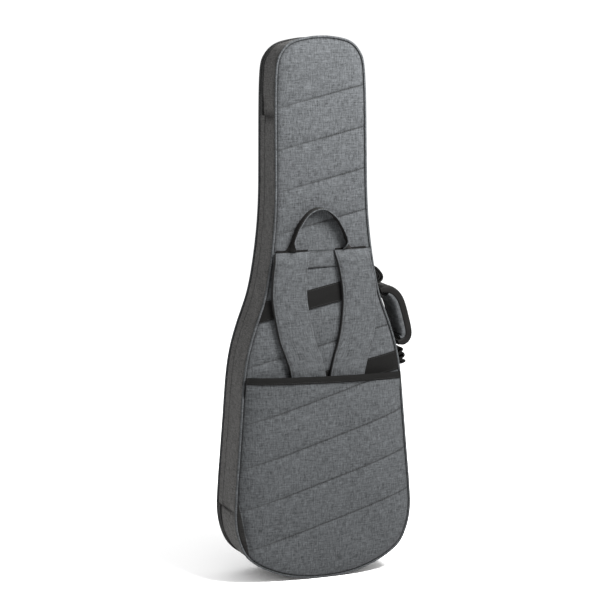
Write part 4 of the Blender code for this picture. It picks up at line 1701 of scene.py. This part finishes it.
def build_carry_handle():
    path = curve_through(HANDLE_MIDDLES, 14)
    y_mid = float(box_middle("carry_handle_grip")[1]) - HANDLE_SHIFT

    def grip_section(share, run):
        ends = 0.62 + 0.38 * float(smooth(0, 0.1, share) * smooth(1, 0.9, share))
        ring = rounded_rectangle(HANDLE_WIDE, HANDLE_THICK * ends, 4.4 * ends, 5)
        ribbed = float(smooth(0.14, 0.2, share) * smooth(0.9, 0.84, share))
        outer = ring[:, 1] > 0.2
        ridge = 0.45 * np.abs(np.sin((run + ring[:, 0] * 0.35) * math.pi / 3.6)) * ribbed
        scale = 1 + 0.06 * np.abs(ring[:, 0] / HANDLE_HALF) ** 2
        hollow = 0.45 * (1 - (ring[:, 0] / HANDLE_HALF) ** 2)
        ring[:, 1] = ring[:, 1] * scale + ridge * outer - hollow * ~outer
        return ring

    grip = swept("carry_handle_moulding", path, grip_section, y_mid, RUBBER)
    finish_piece(grip, "carry_handle", ["carry_handle_grip"])
    inner = path[int(0.2 * len(path)):int(0.96 * len(path))]

    def pad_section(share, run):
        ends = math.sin(math.pi * min(max(share, 0.02), 0.98)) ** 0.28
        ring = rounded_rectangle(HANDLE_WIDE - 2.5, 5.2 * ends, 2.1 * ends, 4)
        swell = 9.0 * ends * (1 - (ring[:, 0] / HANDLE_HALF) ** 6) * (ring[:, 1] < 0)
        ripple = 0.35 * noise.noise((run / 12, 0, 4)) + 0.2 * noise.noise((run / 5, 1, 4))
        ring[:, 1] = ring[:, 1] - swell - ripple * (ring[:, 1] < 0) - HANDLE_THICK / 2 - 1.2
        return ring

    pad = swept("carry_handle_pad", inner, pad_section, y_mid, CLOTH)
    finish_piece(pad, "carry_handle", ["carry_handle_lining"])
    left, run = path_frames(inner)
    rows = []
    for y in (3.2 - HANDLE_HALF, HANDLE_HALF - 3.2):
        line = [(p[0] - n[0] * (HANDLE_THICK / 2 + 3.9), y_mid + y, p[1] - n[1] * (HANDLE_THICK / 2 + 3.9))
                for p, n in zip(inner[3:-3], left[3:-3])]
        outs = [(-n[0], 0, -n[1]) for n in left[3:-3]]
        rows.append((line, outs))
    stitches("carry_handle_stitches", rows, "carry_handle", GREY_THREAD, 3.6)
    build_anchor("handle_anchor_top", y_mid,
                 [[(0.8, 19), (7, 18.5), (14, 13), (21, 3), (24.5, -7), (22, -15), (14, -18), (7, -15),
                   (2.6, -9)],
                  [(2.2, 16), (6, 14.5), (12, 8.5), (18, -1), (19.6, -8), (14, -13), (8, -11), (5, -6)],
                  [(3.2, 10), (7, 8.5), (11, 3.5), (14.5, -4), (12, -8), (7, -6)]])
    build_anchor("handle_anchor_low", y_mid,
                 [[(0.8, 19), (5, 18.5), (11, 17), (18, 15.4), (22.5, 12), (20.5, 8.4), (14, 6), (7, 4),
                   (2.4, 2)],
                  [(2.4, 0), (9, 1.6), (16, 3.2), (22, 3.6), (24.5, 0.2), (22.6, -4), (15, -6.8), (7, -8),
                   (2.2, -8.6)],
                  [(2.4, -10), (9, -9.6), (17, -9.8), (23.5, -11.6), (24, -14.6), (17, -15.6),
                   (8, -15), (1, -17.5)]])


def build_anchor(node, y_mid, folds):
    """Webbing folded on itself and sewn to the side, where the handle's ends are held."""
    low, high = bag_box(node)
    z_mid = (low[2] + high[2]) / 2
    lean = side_lean(z_mid)
    out = np.array([math.cos(lean), -math.sin(lean)])
    up = np.array([math.sin(lean), math.cos(lean)])
    skin = np.array([float(half_width(z_mid)) + 0.6, z_mid])
    made = []
    for number, fold in enumerate(folds):
        path = curve_through([skin + out * a + up * b for a, b in fold], 6)
        left, run = path_frames(path)
        half = (high[1] - low[1]) / 2 - 1 - 0.7 * number
        rows, flats = [], []
        for k, p in enumerate(path):
            xs = np.linspace(-half, half, 13)
            skew = 0.9 * noise.noise((run[k] / 15, number, z_mid / 40))
            cup = [0.7 * noise.noise((x / 9, run[k] / 11, number + 3)) for x in xs]
            rows.append([(p[0] + left[k][0] * c, y_mid + x + skew, p[1] + left[k][1] * c)
                         for x, c in zip(xs, cup)])
            flats.append([(x, run[k]) for x in xs])
        layer = grid_piece(f"{node}_fold_{number}", rows, flats, WEBBING)
        made.append(thicken(layer, 3.2, 0))
    anchor = merge(node + "_webbing", made)
    finish_piece(anchor, "back_shell", [node])


build_carry_handle()

# ---------------------------------------------------------------- lid: panel, pockets and their zips

LID_SLANT = -QUILT_SLOPE
LID_SEAMS = [95 + QUILT_PITCH * k for k in range(-1, 13)]
LID_POCKETS = {"front_pocket": (22, 30, 430, 20.0), "neck_pocket": (18, 560, 880, 13.0)}


def lid_face(x, z):
    """The lid's outer face, puffed between its sewn lines."""
    e = edge_distance(x, z, BACK_EDGE)
    s = seam_distance(x, z, LID_SLANT, LID_SEAMS)
    swell = 1 - np.exp(-e / 4.5)
    puff = (1 - np.exp(-s / 9)) * (1 - np.exp(-e / 16))
    crease = wobble(x, 40, z, 34, 3) * 0.5 + wobble(x, 40, z, 13, 7) * 0.25
    return lid_y(z) - 3.6 + 2.8 * swell + 2.2 * puff + crease * (1 - np.exp(-e / 12))


# Painted shade along a lid panel's quilting lines and its sewn edge.
def lid_seam_shading(slant, seams, ring):
    def amount(x, y, z):
        return np.maximum(sewn_line(seam_distance(x, z, slant, seams), 1.3) * 0.9,
                          sewn_line(edge_distance(x, z, ring), 2.0))

    return amount


def pocket_outline(edge, low, high):
    ring = inset_outline(edge)
    ring = clip_below(ring, (0, high), (1, 0))
    return clip_below(ring, (0, low), (-1, 0))


def build_lid_pocket(node, slant):
    edge, low, high, bulge = LID_POCKETS[node]
    zip_low, zip_high = bag_box(node + "_zip")
    zip_z = (zip_low[2] + zip_high[2]) / 2
    zip_stand = float(zip_high[1] - lid_y(zip_z)) - 1.0
    top = zip_z - 4.2
    ring = pocket_outline(edge, low, top)
    seams = [low + 62 + 76 * k for k in range(-3, 8)]

    def surface(x, z):
        half = half_width(z) - edge
        u = np.clip(np.abs(x / half), 0, 1)
        v = np.clip((z - low) / (high - low), 0, 1)
        e = edge_distance(x, z, ring)
        shut = smooth(top - 46, top, z)
        full = 3.2 + bulge * (1 - u ** 4) * (1 - (1 - v) ** 4)
        lift = full * (1 - shut) + (zip_stand - 0.6) * (1 - u ** 6) * shut + 2.0 * shut
        s = seam_distance(x, z, slant, seams)
        held = np.where(z > top - 12, e + 12, e)
        puff = (1 - np.exp(-s / 10)) * (1 - np.exp(-held / 16))
        crease = wobble(x, 80, z, 50, 21) * 1.0 + wobble(x, 80, z, 15, 23) * 0.35
        ramp = 1 - np.exp(-held / 5.5)
        return lid_y(z) + lift * ramp + 2.2 * puff * (1 - shut * 0.7) + crease * ramp * (1 - shut)

    padded_panel((node + "_cloth", node + "_stitches"), node, "lid", ring, slant, seams, surface,
                 lid_seam_shading(slant, seams, ring), 2.4)
    build_pocket_zip(node, zip_low, zip_high, zip_z, zip_stand)


def build_pocket_zip(node, zip_low, zip_high, zip_z, stand):
    """The pocket's zip: two tapes and two rows of coil, with a stop at each end."""
    half = (zip_high[0] - zip_low[0]) / 2 - 1
    reach = np.linspace(-half, half, 80)
    rows, flats = [], []
    profile = [(-12.6, -2.6), (-11, -0.9), (-7, -0.3), (-1.4, 0), (1.4, 0), (6, -1.0), (10, -3.0),
               (13.5, -stand * 0.8)]
    for x in reach:
        sag = 1.6 * (abs(x) / half) ** 6
        rows.append([(x, float(lid_y(zip_z + dz)) + stand + dy - sag
                      + 0.2 * noise.noise((x / 15, dz, 6)), zip_z + dz) for dz, dy in profile])
        flats.append([(dz, x) for dz, _ in profile])
    tapes = grid_piece(node + "_zip_tape", rows, flats, ZIP_TAPE)
    thicken(tapes, 1.0)
    finish_piece(tapes, "lid", [node + "_zip"])
    path = [(x, float(lid_y(zip_z)) + stand + 0.5 - 1.6 * (abs(x) / half) ** 6, zip_z) for x in reach[1:-1]]
    out = np.tile((0, 1.0, 0), (len(path), 1))
    across = np.tile((0, 0, 1.0), (len(path), 1))
    coil(node + "_zip_coil_upper", path, -across, out, "lid", 0.0, 2.2, 2.4)
    coil(node + "_zip_coil_lower", path, across, out, "lid", 1.1, 2.2, 2.4)
    for side in (-1, 1):
        stop = start_from_cube(f"{node}_zip_stop", (2.4, 2.0, 5.6),
                               (side * (half - 2.5), float(lid_y(zip_z)) + stand - 0.3, zip_z))
        edit(stop)
        pick_faces(stop, lambda c, n: n.y > 0.9)
        bpy.ops.transform.resize(value=(0.6, 1, 0.8))
        leave_edit()
        settle(stop, METAL, 0.3, 2)
        stop.name = f"{node}_zip_stop_{'right' if side > 0 else 'left'}"
        finish_piece(stop, "lid")


def build_lid():
    padded_panel(("lid_panel_cloth", "lid_quilt_stitches"), "front_panel", "lid", BACK_EDGE,
                 LID_SLANT, LID_SEAMS, lid_face, lid_seam_shading(LID_SLANT, LID_SEAMS, BACK_EDGE), 6.0)
    build_lid_pocket("front_pocket", -POCKET_SLOPE)
    build_lid_pocket("neck_pocket", LID_SLANT)


build_lid()

# ---------------------------------------------------------------- zip sliders and pulls


SLIDER_SIZE, PULL_SIZE = (6, 10, 13), (2, 9, 21)


def slider_body(name):
    """A zip slider lying along z, standing out along x, its wedge end up: plates, cheeks, bridge."""
    tall, wide, run = SLIDER_SIZE
    top = start_from_cube("top", (1.7, wide, run), (tall - 2.3, 0, 0))
    edit(top)
    pick_faces(top, lambda c, n: n.z < -0.9)
    bpy.ops.transform.resize(value=(1, 0.66, 1))
    pick_faces(top, lambda c, n: n.x > 0.9)
    bpy.ops.mesh.inset(thickness=1.1 * MM)
    bpy.ops.transform.translate(value=(0.4 * MM, 0, 0))
    leave_edit()
    settle(top, METAL, 0.5, 2)
    parts = [top]
    for side in (-1, 1):
        cheek = start_from_cube("cheek", (tall - 3.2, 1.1, run - 4.5),
                                (tall / 2 - 2.2, side * (wide / 2 - 1.0), 0.8))
        edit(cheek)
        pick_faces(cheek, lambda c, n: n.z < -0.9)
        bpy.ops.transform.translate(value=(0, -side * 1.1 * MM, 0))
        leave_edit()
        parts.append(settle(cheek, METAL, 0.35, 2))
    rail = start_from_cube("rail", (1.3, 2.2, run - 3.0), (tall - 0.15, 0, 0))
    edit(rail)
    pick_faces(rail, lambda c, n: abs(n.z) > 0.9)
    bpy.ops.mesh.extrude_region_move(TRANSFORM_OT_translate={"value": (0, 0, 0)})
    for end in (1, -1):
        pick_faces(rail, lambda c, n: n.z * end > 0.9)
        bpy.ops.transform.translate(value=(-1.2 * MM, 0, end * 0.8 * MM))
    leave_edit()
    parts.append(settle(rail, METAL, 0.4, 2))
    return merge(name, parts)


def pull_tab(name):
    """A pull hanging along -z from its hinge end: an eye, a neck and a ribbed grip, thin in x."""
    thick, wide, run = PULL_SIZE
    plate = windowed_plate(name, (wide, thick, run), (0, 0, 0), 1.9, (run * 0.18,))
    settle(plate, PLASTIC, 0.45, 2)
    plate.data.transform(Matrix.Rotation(math.pi / 2, 4, "Z"))
    grip = start_from_cube("grip", (thick * 1.25, wide - 1.2, run * 0.5), (0, 0, -run * 0.2))
    edit(grip)
    for k in range(-3, 4):
        bpy.ops.mesh.select_all(action="SELECT")
        bpy.ops.mesh.bisect(plane_co=(0, 0, grip.location.z + k * 1.5 * MM), plane_no=(0, 0, 1))
    pick_faces(grip, lambda c, n: abs(n.x) > 0.9 and int(math.floor(c.z / 1.5 + 20)) % 2 == 0)
    bpy.ops.mesh.inset(thickness=0.25 * MM, use_individual=True)
    bpy.ops.transform.resize(value=(0.72, 1, 1))
    leave_edit()
    settle(grip, PLASTIC, 0.2, 1)
    return merge(name, [plate, grip])


def stand_at(obj, middle, columns):
    """Carry a mesh made at the world's zero to a place, with its own axes turned to columns."""
    turn = Matrix([Vector(c) for c in columns]).transposed()
    obj.data.transform(Matrix.Translation(Vector(to_world(middle))) @ turn.to_4x4()
                       @ Matrix.Translation(-ZERO))
    obj.data.update()
    return obj


def build_sliders():
    for word in ("upper", "lower"):
        middle = box_middle("zip_slider_" + word)
        lean = side_lean(middle[2])
        out = (math.cos(lean), 0, -math.sin(lean))
        up = np.array((math.sin(lean), 0, math.cos(lean))) * (1 if word == "upper" else -1)
        across = np.cross(up, out)
        body = slider_body(f"main_zip_slider_{word}")
        stand_at(body, middle - np.array(out) * 3, (out, across, up))
        finish_piece(body, "zip_slider_" + word, ["zip_slider_" + word])
        tab = pull_tab(f"main_zip_pull_{word}")
        stand_at(tab, box_middle("zip_pull_" + word), (out, (0, 1, 0), np.cross(out, (0, 1, 0))))
        finish_piece(tab, "zip_pull_" + word, ["zip_pull_" + word])
    for word in ("front_pocket", "neck_pocket"):
        middle = box_middle(word + "_slider")
        tilt = math.atan(-LID_SLOPE)
        out = np.array((0, math.cos(tilt), math.sin(tilt)))
        body = slider_body(word + "_zip_slider")
        along = np.array((-1.0, 0, 0))
        stand_at(body, middle - out * 3, (out, np.cross(along, out), along))
        finish_piece(body, word + "_slider", [word + "_slider"])
        tab = pull_tab(word + "_zip_pull")
        stand_at(tab, box_middle(word + "_pull"), (out, np.cross((1.0, 0, 0), out), (1.0, 0, 0)))
        finish_piece(tab, word + "_pull", [word + "_pull"])


build_sliders()

# ---------------------------------------------------------------- inside: linings, cradle, block


LINING_SET, LID_LINING_DEEP = 8.6, 11.9


def build_linings():
    edge = inset_outline(LINING_SET)
    back_face = bag_box("rear_lining")[1][1] - 0.3
    for node, body, away in (("rear_lining", "back_shell", 1), ("lid_lining", "lid", -1)):

        def surface(x, z):
            base = back_face if away > 0 else lid_y(z) - LID_LINING_DEEP
            e = edge_distance(x, z, edge)
            slack = wobble(x, away, z, 70, 31) * 0.5 + wobble(x, away, z, 22, 33) * 0.25
            return base + away * slack * (1 - np.exp(-e / 12))

        cloth = quilted(node + "_cloth", edge, 0.0, [], surface, LINING, coarse=9.0, columns=40,
                        flip=away > 0)
        thicken(cloth, 1.2)
        finish_piece(cloth, body, [node])
        cloth_area(edge)


def rounded_loop(corners, radius):
    """A closed outline with its corners rounded, convex or not, spaced for lofting."""
    corners = [np.asarray(c, float) for c in corners]
    out = []
    for i, here in enumerate(corners):
        before, after = corners[i - 1], corners[(i + 1) % len(corners)]
        a, b = before - here, after - here
        cut = min(radius, np.linalg.norm(a) / 2.2, np.linalg.norm(b) / 2.2)
        start, end = here + a / np.linalg.norm(a) * cut, here + b / np.linalg.norm(b) * cut
        for t in np.linspace(0, 1, 6):
            out.append((1 - t) ** 2 * start + 2 * t * (1 - t) * here + t * t * end)
    return np.array(out)


def foam_block(name, corners, span, upright, node, body, mat):
    """Foam in brushed cloth: an outline carried along z if upright, along y if not, soft edged."""
    loop = rounded_loop(corners, 6)
    outward = loop - np.roll(loop, 1, 0) + np.roll(loop, -1, 0) - loop
    normal = np.stack([outward[:, 1], -outward[:, 0]], 1)
    normal /= np.linalg.norm(normal, axis=1)[:, None] + 1e-9
    area = np.cross(loop, np.roll(loop, -1, 0)).sum()
    normal *= 1 if area > 0 else -1
    rows, flats = [], []
    steps = [0, 0.01, 0.03, 0.07, 0.14, 0.25, 0.38, 0.5, 0.62, 0.75, 0.86, 0.93, 0.97, 0.99, 1]
    for t in steps:
        at = span[0] + (span[1] - span[0]) * t
        edge = 4.0 * (1 - math.sqrt(max(0.0, 1 - (1 - min(t, 1 - t, 0.07) / 0.07) ** 2)))
        ring = loop - normal * (edge + 0.2)
        ring = ring + normal * np.array([0.6 * noise.noise((p[0] / 18, p[1] / 18, at / 18))
                                         for p in loop])[:, None]
        ring = np.vstack([ring, ring[:1]])
        row = [(p[0], p[1], at) if upright else (p[0], at, p[1]) for p in ring]
        rows.append(row)
        flats.append([(k * 3.0, at) for k in range(len(ring))])
    block = grid_piece(name, rows, flats, mat)
    close_ends(block)
    return finish_piece(block, body, [node])


def build_inside():
    low, high = bag_box("neck_cradle")
    slot, floor_y = 29, 28
    shape = [(low[0], low[1]), (high[0], low[1]), (high[0], high[1]), (slot, high[1]), (slot, floor_y),
             (-slot, floor_y), (-slot, high[1]), (low[0], high[1])]
    foam_block("neck_cradle_foam", shape, (low[2], high[2]), True, "neck_cradle", "back_shell",
               CRADLE_CLOTH)
    low, high = bag_box("end_block")
    shape = [(-95, 30), (-60, 19), (0, 14), (60, 19), (95, 30), (70, 46), (-70, 46)]
    foam_block("end_block_foam", shape, (low[1], high[1]), False, "end_block", "back_shell",
               CRADLE_CLOTH)
    low, high = bag_box("neck_strap")
    y_mid, z_mid, half = (low[1] + high[1]) / 2, (low[2] + high[2]) / 2, (high[2] - low[2]) / 2
    rows, flats = [], []
    for x in np.linspace(low[0], high[0], 40):
        t = (x - low[0]) / (high[0] - low[0])
        bow = 1.4 * math.sin(math.pi * t)
        tip = half * (1 if t < 0.93 else math.sqrt(max(0.03, 1 - ((t - 0.93) / 0.075) ** 2)))
        rows.append([(x, y_mid + bow, z_mid + s * tip) for s in np.linspace(-1, 1, 9)])
        flats.append([(s * tip, x) for s in np.linspace(-1, 1, 9)])
    strap = grid_piece("neck_hold_strap", rows, flats, WEBBING)
    thicken(strap, 1.8, 0)
    finish_piece(strap, "neck_strap", ["neck_strap"])


build_linings()
build_inside()
